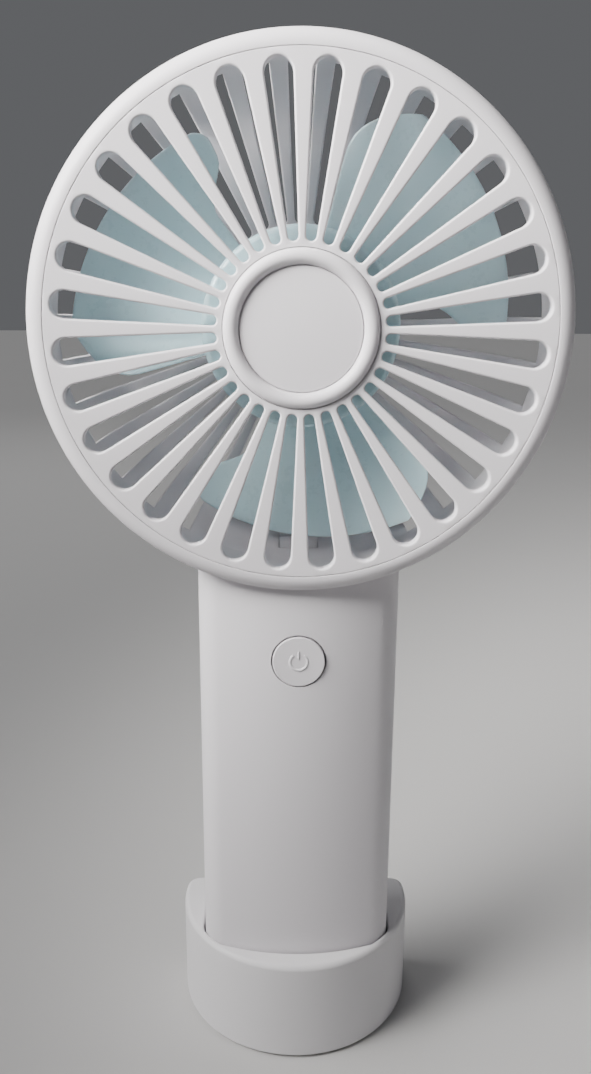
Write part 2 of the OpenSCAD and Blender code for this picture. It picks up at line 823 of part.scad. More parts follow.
module commutator() {
    cut = 0.3;
    color([0.75, 0.45, 0.25]) slab(commutator_d, commutator_d + commutator_len) difference() {
        circle(r = commutator_r);
        circle(r = shaft_r);
        for (i = [0:pole_count - 1]) rotate(30 + i * 360 / pole_count)
            translate([commutator_r - 0.4, -cut / 2]) square([1, cut]);
    }
}

// Two leaf brushes that end in terminals through the end cap
module motor_brushes() {
    leaf_w = 1;
    leaf_d = commutator_d + 0.2;
    reach = commutator_r + brush_gap;
    color([0.80, 0.62, 0.30]) for (s = [-1, 1]) {
        x = s * (reach + brush_t / 2);
        block([x - brush_t / 2, leaf_d, head_z - terminal_z - 0.5],
            [x + brush_t / 2, leaf_d + leaf_w, head_z + 1]);
        block([min(x, s * (terminal_x + 1)), leaf_d, head_z - terminal_z - 0.5],
            [max(x, s * (terminal_x + 1)), leaf_d + brush_t, head_z - terminal_z + 0.5]);
        block([s * terminal_x - terminal_w / 2, leaf_d, head_z - terminal_z - brush_t / 2],
            [s * terminal_x + terminal_w / 2, motor_back_d + 0.4, head_z - terminal_z + brush_t / 2]);
    }
}

module motor_magnets() {
    color([0.30, 0.30, 0.32]) slab(magnet_front_d, magnet_front_d + magnet_len)
        for (a = [0, 180]) rotate(a) sector(rotor_r + rotor_gap, can_r - 0.05, 130);
}

module motor_retainer() {
    color([0.88, 0.87, 0.88]) slab(motor_front_d - retainer_t, motor_front_d) difference() {
        union() {
            circle(r = seat_r + seat_wall);
            for (x = [-ear_x, ear_x]) translate([x, 0]) circle(r = ear_r);
        }
        circle(r = retainer_hole_r);
        for (x = [-ear_x, ear_x]) translate([x, 0]) circle(r = screw_r + 2 * thread_gap);
    }
}

// A cross-recessed screw along Y; its head lies at "seat" and its shank runs by "length"
module screw(x, z, seat, shank_r, head_r, head_t, length, towards) {
    shank = towards > 0 ? [seat - eps, seat + length] : [seat - length, seat + eps];
    head = towards > 0 ? [seat - head_t, seat] : [seat, seat + head_t];
    cut = towards > 0 ? [head[0] - 1, head[0] + head_t / 2] : [head[1] - head_t / 2, head[1] + 1];
    arm = head_r * 0.62;
    slit = head_r * 0.15;
    difference() {
        union() {
            rod(x, z, shank_r, shank[0], shank[1]);
            rod(x, z, head_r, head[0], head[1]);
        }
        block([x - arm, cut[0], z - slit], [x + arm, cut[1], z + slit]);
        block([x - slit, cut[0], z - arm], [x + slit, cut[1], z + arm]);
    }
}

module retainer_screws() {
    color([0.70, 0.71, 0.73]) for (x = [-ear_x, ear_x])
        screw(x, head_z, motor_front_d - retainer_t, screw_r, screw_head_r - 0.1, screw_head_t,
            screw_depth, 1);
}

module motor_wires() {
    bottom = head_z - head_r;
    color([0.75, 0.12, 0.12]) for (s = [-1, 1])
        wire([[s * motor_wire_x, board_d + board_t / 2, board_z + board_h],
            [s * motor_wire_x, board_d + board_t / 2, board_z + board_h + 1],
            [s * motor_wire_x, wire_hole_front_d + 2, bottom - 1.2],
            [s * motor_wire_x, wire_run_d, head_z - tip_r - 3],
            [s * motor_wire_x, wire_run_d, bottom + neck_reach],
            [s * motor_wire_x, wire_run_d, head_z - seat_r - seat_wall - 1],
            [s * motor_wire_x, wire_end_d, head_z - seat_r + 0.5],
            [s * motor_wire_x, wire_end_d, head_z - terminal_z - 3],
            [s * terminal_x, wire_end_d, head_z - terminal_z]], wire_r);
}

// The cover steps forward below the blades, over the wires' hole
module wire_cover() {
    half = channel_w / 2 - cover_gap;
    low_half = half - cover_ledge;
    shelf = head_z - tip_r - 1;
    apron_d = wire_hole_front_d + cover_gap;
    color([0.88, 0.87, 0.88]) {
        block([-half, channel_front_d, head_z - head_r + channel_end + 1],
            [half, channel_front_d + cover_t, head_z - seat_r - seat_wall - cover_gap]);
        block([-low_half, channel_front_d, shelf - cover_t],
            [low_half, channel_front_d + cover_t, head_z - head_r + channel_end + 2]);
        block([-low_half, apron_d, shelf - cover_t], [low_half, channel_front_d + cover_t, shelf]);
        block([-low_half, apron_d, shelf - 3.1], [low_half, apron_d + cover_t, shelf]);
    }
}

// ---------- battery ----------

module battery_cell() {
    nub_r = 3;
    groove = 0.4;
    color([0.20, 0.45, 0.62]) translate([0, y0 + handle_mid_d, battery_z]) difference() {
        cylinder(r = battery_d / 2, h = battery_len);
        translate([0, 0, battery_len - 0.6]) difference() {
            cylinder(r = battery_d / 2 - 1, h = 2);
            cylinder(r = nub_r, h = 2);
        }
        translate([0, 0, battery_len - 3]) difference() {
            cylinder(r = battery_d, h = 1);
            translate([0, 0, -1]) cylinder(r = battery_d / 2 - groove, h = 3);
        }
    }
}

module battery_tabs() {
    ear = battery_d / 2 + tab_reach;
    color([0.80, 0.80, 0.78]) {
        block([-tab_w / 2, handle_mid_d - tab_w / 2, battery_z - tab_t],
            [ear, handle_mid_d + tab_w / 2, battery_z]);
        block([-ear / 2, handle_mid_d - tab_w / 2, battery_z + battery_len],
            [tab_w / 2, handle_mid_d + tab_w / 2, battery_z + battery_len + tab_t]);
    }
}

module battery_pads() {
    color([0.25, 0.25, 0.27]) {
        translate([0, y0 + handle_mid_d, handle_z + shell_wall])
            cylinder(r = battery_d / 2 - 1, h = end_pad_t);
        difference() {
            translate([0, y0 + handle_mid_d, battery_z + battery_len + tab_t])
                cylinder(r = battery_d / 2 - 1, h = board_gap - 2 * tab_t - 0.4);
            block([-battery_d, handle_mid_d - tab_w, battery_z + battery_len],
                [tab_w / 2, handle_mid_d + tab_w, board_z]);
        }
    }
}

module battery_wires() {
    wire_x = battery_d / 2 + tab_reach - 0.5;
    plus_x = -(battery_d / 2 + tab_reach) / 2 + 1;
    end_d = board_d + board_t / 2;
    color([0.10, 0.10, 0.11]) {
        wire([[wire_x, handle_mid_d, battery_z], [wire_x, handle_mid_d, battery_z + battery_len - 2],
            [wire_x - 2, end_d, board_z - 1.6], [wire_x - 2, end_d, board_z - 1],
            [wire_x - 2, end_d, board_z]], wire_r);
        wire([[plus_x, handle_mid_d, battery_z + battery_len + tab_t],
            [plus_x, handle_mid_d, battery_z + battery_len + tab_t + 0.5],
            [plus_x, end_d, board_z - 1.2], [plus_x, end_d, board_z - 0.6],
            [plus_x, end_d, board_z]], wire_r);
    }
}

// ---------- board and button ----------

// A flat outline with round ends, centred
module pill(w, h) {
    square([w - h, h], center = true);
    for (x = [-(w - h) / 2, (w - h) / 2]) translate([x, 0]) circle(r = h / 2);
}

module main_board() {
    color([0.12, 0.38, 0.22]) difference() {
        block([-board_w / 2, board_d, board_z], [board_w / 2, board_d + board_t, board_z + board_h]);
        for (x = [-post_x, post_x], z = [board_z + post_edge, board_z + board_h - post_edge])
            rod(x, z, screw_r + 2 * thread_gap, board_d - 1, board_d + board_t + 1);
    }
}

module switch_body() {
    half = switch_w / 2;
    color([0.13, 0.13, 0.14]) difference() {
        block([-half, switch_d, button_z - half], [half, board_d, button_z + half]);
        rod(0, button_z, plunger_r + plunger_gap, switch_d - 1, switch_d + switch_t - 1.2);
    }
}

module switch_plunger() {
    color([0.85, 0.84, 0.80]) rod(0, button_z, plunger_r, switch_d - plunger_out,
        switch_d - plunger_out + plunger_len);
}

// Button with a raised ring-and-bar power sign
module power_button() {
    sign_r = button_d * 0.2;
    sign_w = button_d * 0.05;
    sign_h = 0.15;
    color([0.91, 0.90, 0.91]) {
        rod(0, button_z, button_d / 2, button_front_d, flange_d + eps);
        rod(0, button_z, button_d / 2 + flange_w, flange_d, flange_d + flange_t);
        rod(0, button_z, plunger_r, flange_d + flange_t - eps, switch_d - plunger_out);
        translate([0, 0, button_z - head_z]) slab(button_front_d - sign_h, button_front_d + eps) {
            difference() {
                circle(r = sign_r + sign_w);
                circle(r = sign_r);
                translate([-sign_w * 2.4, 0]) square([sign_w * 4.8, button_d]);
            }
            translate([-sign_w / 2, sign_r * 0.3]) square([sign_w, sign_r]);
        }
    }
}

module socket_shell() {
    color([0.75, 0.76, 0.78])
        translate([0, y0 + board_d + board_t, board_z + socket_up]) rotate([-90, 0, 0]) difference() {
            linear_extrude(socket_back_d - board_d - board_t) pill(socket_w, socket_h);
            translate([0, 0, 1]) linear_extrude(far)
                pill(socket_w - 2 * socket_wall, socket_h - 2 * socket_wall);
        }
}

module socket_tongue() {
    tongue_w = socket_w - 2.4;
    tongue_t = 0.7;
    color([0.13, 0.13, 0.14]) block(
        [-tongue_w / 2, board_d + board_t + 1, board_z + socket_up - tongue_t / 2],
        [tongue_w / 2, socket_back_d - 1, board_z + socket_up + tongue_t / 2]);
}

module charge_controller() {
    chip_w = 5;
    chip_h = 4;
    chip_t = 1.5;
    color([0.10, 0.10, 0.11]) block(
        [-board_w / 2 + 1.2, board_d + board_t, button_z + 2],
        [-board_w / 2 + 1.2 + chip_w, board_d + board_t + chip_t, button_z + 2 + chip_h]);
}

module board_inductor() {
    color([0.35, 0.35, 0.36]) rod(board_w / 2 - 4.6, button_z + 2.6, 2.6, board_d + board_t,
        board_d + board_t + 3);
}

module board_capacitors() {
    color([0.70, 0.58, 0.42]) for (x = [-1.2, 1.8])
        block([x, board_d + board_t, button_z + 3], [x + 1.2, board_d + board_t + 1.2, button_z + 5]);
}

module status_light() {
    color([0.95, 0.95, 0.90]) block([-1, board_d + board_t, board_z + light_up - 0.8],
        [1, board_d + board_t + light_len, board_z + light_up + 0.8]);
}

module light_pipe() {
    color([0.92, 0.94, 0.95]) {
        rod(0, board_z + light_up, light_r, board_d + board_t + light_len + 0.2, handle_back_d);
        rod(0, board_z + light_up, light_r + 0.8, handle_back_d - shell_wall - 1.4,
            handle_back_d - shell_wall - 0.4);
    }
}

module board_screws() {
    color([0.70, 0.71, 0.73])
        for (x = [-post_x, post_x], z = [board_z + post_edge, board_z + board_h - post_edge])
            screw(x, z, board_d + board_t, screw_r, screw_head_r, screw_head_t, screw_depth, -1);
}

module case_screws() {
    color([0.70, 0.71, 0.73]) for (x = [-case_boss_x, case_boss_x], z = case_screw_z)
        screw(x, z, case_seat_d, screw_r, case_screw_head_r, screw_head_t, case_screw_len, -1);
}

base_cup();
base_pad();
front_shell();
rear_shell();
front_grille();
hub_ring();
hub_cap();
impeller();
motor_can();
motor_end_cap();
motor_shaft();
front_bushing();
rear_bushing();
rotor_core();
rotor_windings();
commutator();
motor_brushes();
motor_magnets();
motor_retainer();
retainer_screws();
motor_wires();
wire_cover();
battery_cell();
battery_tabs();
battery_pads();
battery_wires();
main_board();
switch_body();
switch_plunger();
power_button();
socket_shell();
socket_tongue();
charge_controller();
board_inductor();
board_capacitors();
status_light();
light_pipe();
board_screws();
case_screws();
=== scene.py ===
"""Handheld electric fan in its cradle: visible pieces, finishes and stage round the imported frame.

Lengths in the functions are millimetres. A depth "d" is counted from the head's front face
towards the back, and a height "z" from the floor under the cradle.
"""

import json
import math

import bmesh
import bpy
import numpy as np
from bpy.props import FloatProperty, FloatVectorProperty, IntProperty, PointerProperty
from mathutils import Matrix, Vector

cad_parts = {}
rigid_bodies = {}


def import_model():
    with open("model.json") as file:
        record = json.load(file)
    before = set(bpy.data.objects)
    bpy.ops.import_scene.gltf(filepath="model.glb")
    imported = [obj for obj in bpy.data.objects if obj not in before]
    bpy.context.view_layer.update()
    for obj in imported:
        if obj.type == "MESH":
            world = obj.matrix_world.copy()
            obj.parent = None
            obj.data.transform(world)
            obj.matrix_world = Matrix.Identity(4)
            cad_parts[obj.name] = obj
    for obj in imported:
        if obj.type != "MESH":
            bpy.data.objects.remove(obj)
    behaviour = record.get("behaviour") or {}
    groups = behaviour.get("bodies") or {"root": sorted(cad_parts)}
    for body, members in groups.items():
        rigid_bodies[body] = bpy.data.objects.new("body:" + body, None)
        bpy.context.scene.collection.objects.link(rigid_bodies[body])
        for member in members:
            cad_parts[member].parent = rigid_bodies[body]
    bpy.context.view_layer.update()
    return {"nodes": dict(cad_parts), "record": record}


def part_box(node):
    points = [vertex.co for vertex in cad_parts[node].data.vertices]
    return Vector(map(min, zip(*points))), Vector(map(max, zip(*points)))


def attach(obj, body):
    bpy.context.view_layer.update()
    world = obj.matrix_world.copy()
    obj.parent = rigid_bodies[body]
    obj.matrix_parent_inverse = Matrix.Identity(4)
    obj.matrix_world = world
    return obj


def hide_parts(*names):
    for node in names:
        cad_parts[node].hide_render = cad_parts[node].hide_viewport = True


bl_info = {
    "name": "Handheld Fan Looks",
    "version": (1, 0, 0),
    "blender": (4, 5, 0),
    "location": "3D View > Sidebar > Fan",
    "description": "Builds the visible pieces, finishes and stage of a handheld fan",
    "category": "Object",
}

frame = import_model()
MM = 0.001


def node_box(node):
    """Lowest and highest corner of a frame node, in millimetres."""
    low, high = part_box(node)
    return np.array(low) / MM, np.array(high) / MM


GRILLE = node_box("front_grille")
FACE_Y = float(GRILLE[0][1])
HEAD_Z = float(GRILLE[0][2] + GRILLE[1][2]) / 2
GRILLE_R = float(GRILLE[1][0])
HEAD_R = float(node_box("front_shell")[1][0])
HEAD_DEPTH = float(node_box("rear_shell")[1][1]) - FACE_Y
JOINT_D = float(node_box("front_shell")[1][1]) - FACE_Y
HUB = node_box("hub_ring")
CAN = node_box("motor_can")
CUP = node_box("base_cup")
BUTTON = node_box("power_button")
BUTTON_Z = float(BUTTON[0][2] + BUTTON[1][2]) / 2
BUTTON_FRONT_D = float(BUTTON[0][1]) - FACE_Y + 0.15
SLOT_OF = {s["node"]: s["material_slot"] for s in frame["record"]["subparts"]}
BODY_OF = {n: body for body, members in frame["record"]["behaviour"]["bodies"].items() for n in members}


# ---------- settings ----------


class FanShellSettings(bpy.types.PropertyGroup):
    """Sizes and colours of the moulded shells, the grille and the cradle."""

    shell_colour: FloatVectorProperty(
        name="Shell colour", description="Colour of the two shells and the grille",
        default=(0.78, 0.752, 0.775), size=3, min=0, max=1, subtype="COLOR")
    cradle_colour: FloatVectorProperty(
        name="Cradle colour", description="Colour of the cradle",
        default=(0.765, 0.748, 0.76), size=3, min=0, max=1, subtype="COLOR")
    slot_edge: FloatProperty(
        name="Slot edge", description="Radius of the rounded slot edges of the grille",
        default=0.4 * MM, min=0.1 * MM, max=0.45 * MM, subtype="DISTANCE", unit="LENGTH")
    rib_edge: FloatProperty(
        name="Rib edge", description="Radius of the rounded edges of the rear ribs",
        default=0.35 * MM, min=0.1 * MM, max=0.6 * MM, subtype="DISTANCE", unit="LENGTH")
    seam: FloatProperty(
        name="Seam", description="Width of the small bevel along the joint of the shells",
        default=0.25 * MM, min=0.05 * MM, max=0.5 * MM, subtype="DISTANCE", unit="LENGTH")
    grain: FloatProperty(
        name="Moulded grain", description="Depth of the fine grain on the moulded plastic",
        default=0.012 * MM, min=0.0, max=0.1 * MM, subtype="DISTANCE", unit="LENGTH")


class FanImpellerSettings(bpy.types.PropertyGroup):
    """Sizes and colours of the impeller."""

    blades: IntProperty(name="Blades", description="Number of blades", default=3, min=2, max=5)
    tint: FloatVectorProperty(
        name="Tint", description="Colour of the translucent impeller",
        default=(0.64, 0.90, 0.99), size=3, min=0, max=1, subtype="COLOR")
    clarity: FloatProperty(
        name="Clarity", description="How much light passes inside the impeller's plastic",
        default=0.35, min=0, max=1, subtype="FACTOR")


class FanStageSettings(bpy.types.PropertyGroup):
    """Floor, light and camera."""

    floor_colour: FloatVectorProperty(
        name="Floor colour", description="Colour of the plain floor",
        default=(0.62, 0.61, 0.60), size=3, min=0, max=1, subtype="COLOR")
    key_power: FloatProperty(
        name="Key light", description="Power of the large soft light on the left",
        default=1.1, min=0, max=50, unit="POWER")
    fill_power: FloatProperty(
        name="Fill light", description="Power of the weak soft light on the right",
        default=0.04, min=0, max=50, unit="POWER")
    back_power: FloatProperty(
        name="Back light", description="Power of the soft light behind the object",
        default=0.8, min=0, max=50, unit="POWER")
    sky: FloatProperty(
        name="Surrounding light", description="Strength of the even light all round",
        default=0.13, min=0, max=3)
    sun: FloatProperty(
        name="Even key", description="Strength of the distant light from the same side as the key",
        default=1.3, min=0, max=5)
    lens: FloatProperty(
        name="Lens", description="Focal length of the camera", default=31.74, min=10, max=200,
        subtype="DISTANCE_CAMERA")


# ---------- mesh helpers ----------


def at(x, d, z):
    """A point from millimetres across, in depth and above the floor."""
    return Vector((x * MM, (FACE_Y + d) * MM, z * MM))


def make_mesh(name, points, faces):
    """A closed mesh from points in metres, with doubles merged and faces pointing outwards."""
    mesh = bpy.data.meshes.new(name)
    mesh.from_pydata([tuple(p) for p in points], [], faces)
    return tidy_mesh(mesh)


def tidy_mesh(mesh, weld=1e-6):
    """Merges doubled points of a mesh, drops empty faces and turns the rest outwards."""
    bm = bmesh.new()
    bm.from_mesh(mesh)
    bmesh.ops.remove_doubles(bm, verts=bm.verts, dist=weld)
    bmesh.ops.dissolve_degenerate(bm, dist=weld / 2, edges=bm.edges)
    bmesh.ops.recalc_face_normals(bm, faces=bm.faces)
    bm.to_mesh(mesh)
    bm.free()
    return mesh


def grid_faces(rows, columns, first=0, closed=False):
    """Quads over a grid of rows x columns points; closed joins the last column to the first."""
    faces = []
    for i in range(rows - 1):
        for j in range(columns if closed else columns - 1):
            k = (j + 1) % columns
            a, b = first + i * columns, first + (i + 1) * columns
            faces.append((a + j, a + k, b + k, b + j))
    return faces


def rounded(corners, steps=5):
    """A closed outline through (x, y, radius) corners, each turned into an arc."""
    out = []
    for i, (x, y, r) in enumerate(corners):
        p, a, b = (Vector(c[:2]) for c in (corners[i], corners[i - 1], corners[(i + 1) % len(corners)]))
        if r <= 0:
            out.append((x, y))
            continue
        u, v = (a - p).normalized(), (b - p).normalized()
        half = u.angle(v) / 2
        c = p + (u + v).normalized() * (r / math.sin(half))
        start, end = p + u * (r / math.tan(half)) - c, p + v * (r / math.tan(half)) - c
        turn = math.atan2(start.x * end.y - start.y * end.x, start.dot(end))
        first = math.atan2(start.y, start.x)
        n = max(2, round(steps * (3 if r > 1.5 else 1)))
        out += [(c.x + r * math.cos(first + turn * k / n), c.y + r * math.sin(first + turn * k / n))
                for k in range(n + 1)]
    return out


def turned(name, profile, around=160, centre_z=None, centre_x=0):
    """A solid turned round a line along Y from a closed profile of (radius, depth)."""
    z0 = HEAD_Z if centre_z is None else centre_z
    points = []
    for k in range(around):
        a = 2 * math.pi * k / around
        points += [at(centre_x + r * math.cos(a), d, z0 + r * math.sin(a)) for r, d in profile]
    n = len(profile)
    faces = []
    for k in range(around):
        a, b = k * n, ((k + 1) % around) * n
        for j in range(n):
            i = (j + 1) % n
            if profile[j][0] < 1e-9 and profile[i][0] < 1e-9:
                continue
            faces.append((a + j, a + i, b + i, b + j))
    return make_mesh(name, points, faces)


def rod(name, x, z, r, front, back, around=48, edge=0.0):
    """A round bar along Y from one depth to another."""
    return turned(name, rounded([(0, front, 0), (r, front, edge), (r, back, edge), (0, back, 0)], 3),
                  around, z, x)


def block(name, low, high):
    """A box from its lowest and highest corner, with depths in the middle place."""
    points = [at(x, d, z) for z in (low[2], high[2]) for d in (low[1], high[1])
              for x in (low[0], high[0])]
    faces = [(0, 2, 3, 1), (4, 5, 7, 6), (0, 1, 5, 4), (2, 6, 7, 3), (0, 4, 6, 2), (1, 3, 7, 5)]
    return make_mesh(name, points, faces)


def scratch_object(mesh):
    """An object of the scene that holds the mesh."""
    made = bpy.data.objects.new(mesh.name, mesh)
    bpy.context.scene.collection.objects.link(made)
    return made


def settled(made, name):
    """The object's mesh with its modifiers applied; the object itself is removed."""
    graph = bpy.context.evaluated_depsgraph_get()
    mesh = bpy.data.meshes.new_from_object(made.evaluated_get(graph))
    mesh.name = name
    bpy.data.objects.remove(made)
    return mesh


def combined(mesh, others, operation, name):
    """Joins meshes to one solid, or cuts them out of it, with the exact solver."""
    made = scratch_object(mesh)
    tools = bpy.data.collections.new(name + "_tools")
    bpy.context.scene.collection.children.link(tools)
    for other in others:
        tools.objects.link(bpy.data.objects.new(other.name, other))
    step = made.modifiers.new(operation, "BOOLEAN")
    step.operation, step.solver = operation, "EXACT"
    step.operand_type, step.collection = "COLLECTION", tools
    step.use_self = False
    result = settled(made, name)
    for tool in list(tools.objects):
        bpy.data.objects.remove(tool)
    bpy.data.collections.remove(tools)
    if len(result.polygons) < 6:
        raise RuntimeError(f"{name}: the solids could not be combined")
    return tidy_mesh(result)


def add_piece(name, mesh, node, angle=32.0):
    """Puts a finished mesh in place of a frame node, on that node's body and with its finish."""
    mesh.name = name
    piece = scratch_object(mesh)
    piece.name = name
    mesh.materials.clear()
    mesh.materials.append(finish(SLOT_OF[node]))
    mesh.shade_smooth()
    mesh.set_sharp_from_angle(angle=math.radians(angle))
    step = piece.modifiers.new("Even shading", "WEIGHTED_NORMAL")
    step.keep_sharp, step.weight = True, 80
    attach(piece, BODY_OF[node])
    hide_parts(node)


# ---------- outlines ----------


class Outline:
    """A closed outline in x and depth made of arcs and lines, that can be inset exactly."""

    def __init__(self, points):
        self.points = np.array(points, float)

    @staticmethod
    def arc(cx, cd, r, start, end, step):
        n = max(2, int(round(abs(end - start) / step)))
        for k in range(n + 1):
            a = math.radians(start + (end - start) * k / n)
            yield cx + r * math.cos(a), cd + r * math.sin(a), math.cos(a), math.sin(a)

    def inset(self, amount):
        p = self.points
        return np.c_[p[:, 0] - amount * p[:, 2], p[:, 1] - amount * p[:, 3]]

    def by_direction(self, centre_d, count):
        """The same outline sampled at even directions seen from (0, centre_d)."""
        p = self.points
        a = np.unwrap(np.arctan2(p[:, 1] - centre_d, p[:, 0]))
        order = np.argsort(a)
        a, p = a[order], p[order]
        a = np.r_[a - 2 * math.pi, a, a + 2 * math.pi]
        p = np.r_[p, p, p]
        t = np.linspace(0, 2 * math.pi, count, endpoint=False)
        return Outline(np.c_[tuple(np.interp(t, a, p[:, k]) for k in range(4))])


HANDLE_W = 41.2
HANDLE_FRONT_D = 3.2
HANDLE_BACK_D = 27.0
FACE_CURVE = 45.0
CORNER_R = 7.0
SHELL_WALL = 2.0
HANDLE_Z = 4.0
HEAD_WALL = 2.2
BACK_CORNER_R = 14.0
RIM_R = 3.0


def handle_outline(step=1.0):
    """Counter-clockwise from the joint on the right side, over the back, to the front."""
    cx = HANDLE_W / 2 - CORNER_R
    reach = math.sqrt((FACE_CURVE - CORNER_R) ** 2 - cx ** 2)
    lean = math.degrees(math.asin(cx / (FACE_CURVE - CORNER_R)))
    fc, bc = HANDLE_FRONT_D + FACE_CURVE, HANDLE_BACK_D - FACE_CURVE
    fd, bd = fc - reach, bc + reach
    arc = Outline.arc
    rear = [(HANDLE_W / 2, JOINT_D, 1, 0), *arc(cx, bd, CORNER_R, 0, 90 - lean, 5 * step),
            *arc(0, bc, FACE_CURVE, 90 - lean, 90 + lean, step),
            *arc(-cx, bd, CORNER_R, 90 + lean, 180, 5 * step), (-HANDLE_W / 2, JOINT_D, -1, 0)]
    front = [(-HANDLE_W / 2, JOINT_D, -1, 0), *arc(-cx, fd, CORNER_R, 180, 270 - lean, 5 * step),
             *arc(0, fc, FACE_CURVE, 270 - lean, 270 + lean, step),
             *arc(cx, fd, CORNER_R, 270 + lean, 360, 5 * step), (HANDLE_W / 2, JOINT_D, 1, 0)]

    def clean(points):
        kept = [points[0]]
        for p in points[1:]:
            if abs(p[0] - kept[-1][0]) + abs(p[1] - kept[-1][1]) > 1e-6:
                kept.append(p)
        return kept
    return Outline(clean(rear)), Outline(clean(front))


def cradle_outline():
    """The cradle's round front, cut flat at the back with small rounded corners."""
    half = float(CUP[1][1] - CUP[0][1]) / 2
    middle = float(CUP[1][1] + CUP[0][1]) / 2 - FACE_Y
    r = float(CUP[1][0])
    centre, back, c = middle - half + r, middle + half, 3.0
    corner_d = back - c
    cx = math.sqrt((r - c) ** 2 - (corner_d - centre) ** 2)
    lean = math.degrees(math.atan2(corner_d - centre, cx))
    arc = Outline.arc
    flat = [(cx - 2 * cx * k / 24, back, 0, 1) for k in range(1, 24)]
    return Outline([*arc(cx, corner_d, c, lean, 90, 5), *flat,
                    *arc(-cx, corner_d, c, 90, 180 - lean, 5),
                    *arc(0, centre, r, 180 - lean, 360 + lean, 1.5)])


# ---------- head surfaces ----------


def guard_surface(s, inset):
    """Radius and depth on the guard: s is 0 at the joint, 1 where the back turns flat, 2 at the axis."""
    start = math.asin((JOINT_D - HEAD_DEPTH + BACK_CORNER_R) / (BACK_CORNER_R - inset))
    c = HEAD_R - BACK_CORNER_R
    if s <= 1:
        a = start + (math.pi / 2 - start) * s
        r = BACK_CORNER_R - inset
        return c + r * math.cos(a), HEAD_DEPTH - BACK_CORNER_R + r * math.sin(a)
    return c * (2 - s), HEAD_DEPTH - inset


def s_at_radius(r):
    """The guard's s where its flat back has this radius."""
    return 2 - r / (HEAD_R - BACK_CORNER_R)


def s_at_depth(d):
    """The guard's s where its rounded corner has this depth."""
    start = math.asin((JOINT_D - HEAD_DEPTH + BACK_CORNER_R) / BACK_CORNER_R)
    a = math.asin((d - HEAD_DEPTH + BACK_CORNER_R) / BACK_CORNER_R)
    return (a - start) / (math.pi / 2 - start)


def guard_point(s, across, depth, angle):
    """A point on the guard in the head's own frame; across is in mm along the surface's turn."""
    ro, do = guard_surface(s, 0)
    ri, di = guard_surface(s, HEAD_WALL)
    t = depth / HEAD_WALL
    r, d = ro + (ri - ro) * t, do + (di - do) * t
    a = angle + (across / ro if ro > 1e-6 else 0)
    return Vector((r * math.cos(a) * MM, d * MM, r * math.sin(a) * MM))


VENTS = 34
VENT_PITCH = 2 * math.pi / VENTS
RIB_ANGLE = math.radians(4.2)
VENT_START_D = JOINT_D + 1
VENT_INNER_R = 20.7
SHORT_VENT_R = 36.8
HUB_DISC_R = 18.3
SEAT_R = float(CAN[1][0]) + 0.15
SEAT_OUTER_R = SEAT_R + 1.5
SEAT_FRONT_D = float(node_box("motor_retainer")[1][1]) - FACE_Y
BACK_PLATE_D = HEAD_DEPTH - HEAD_WALL


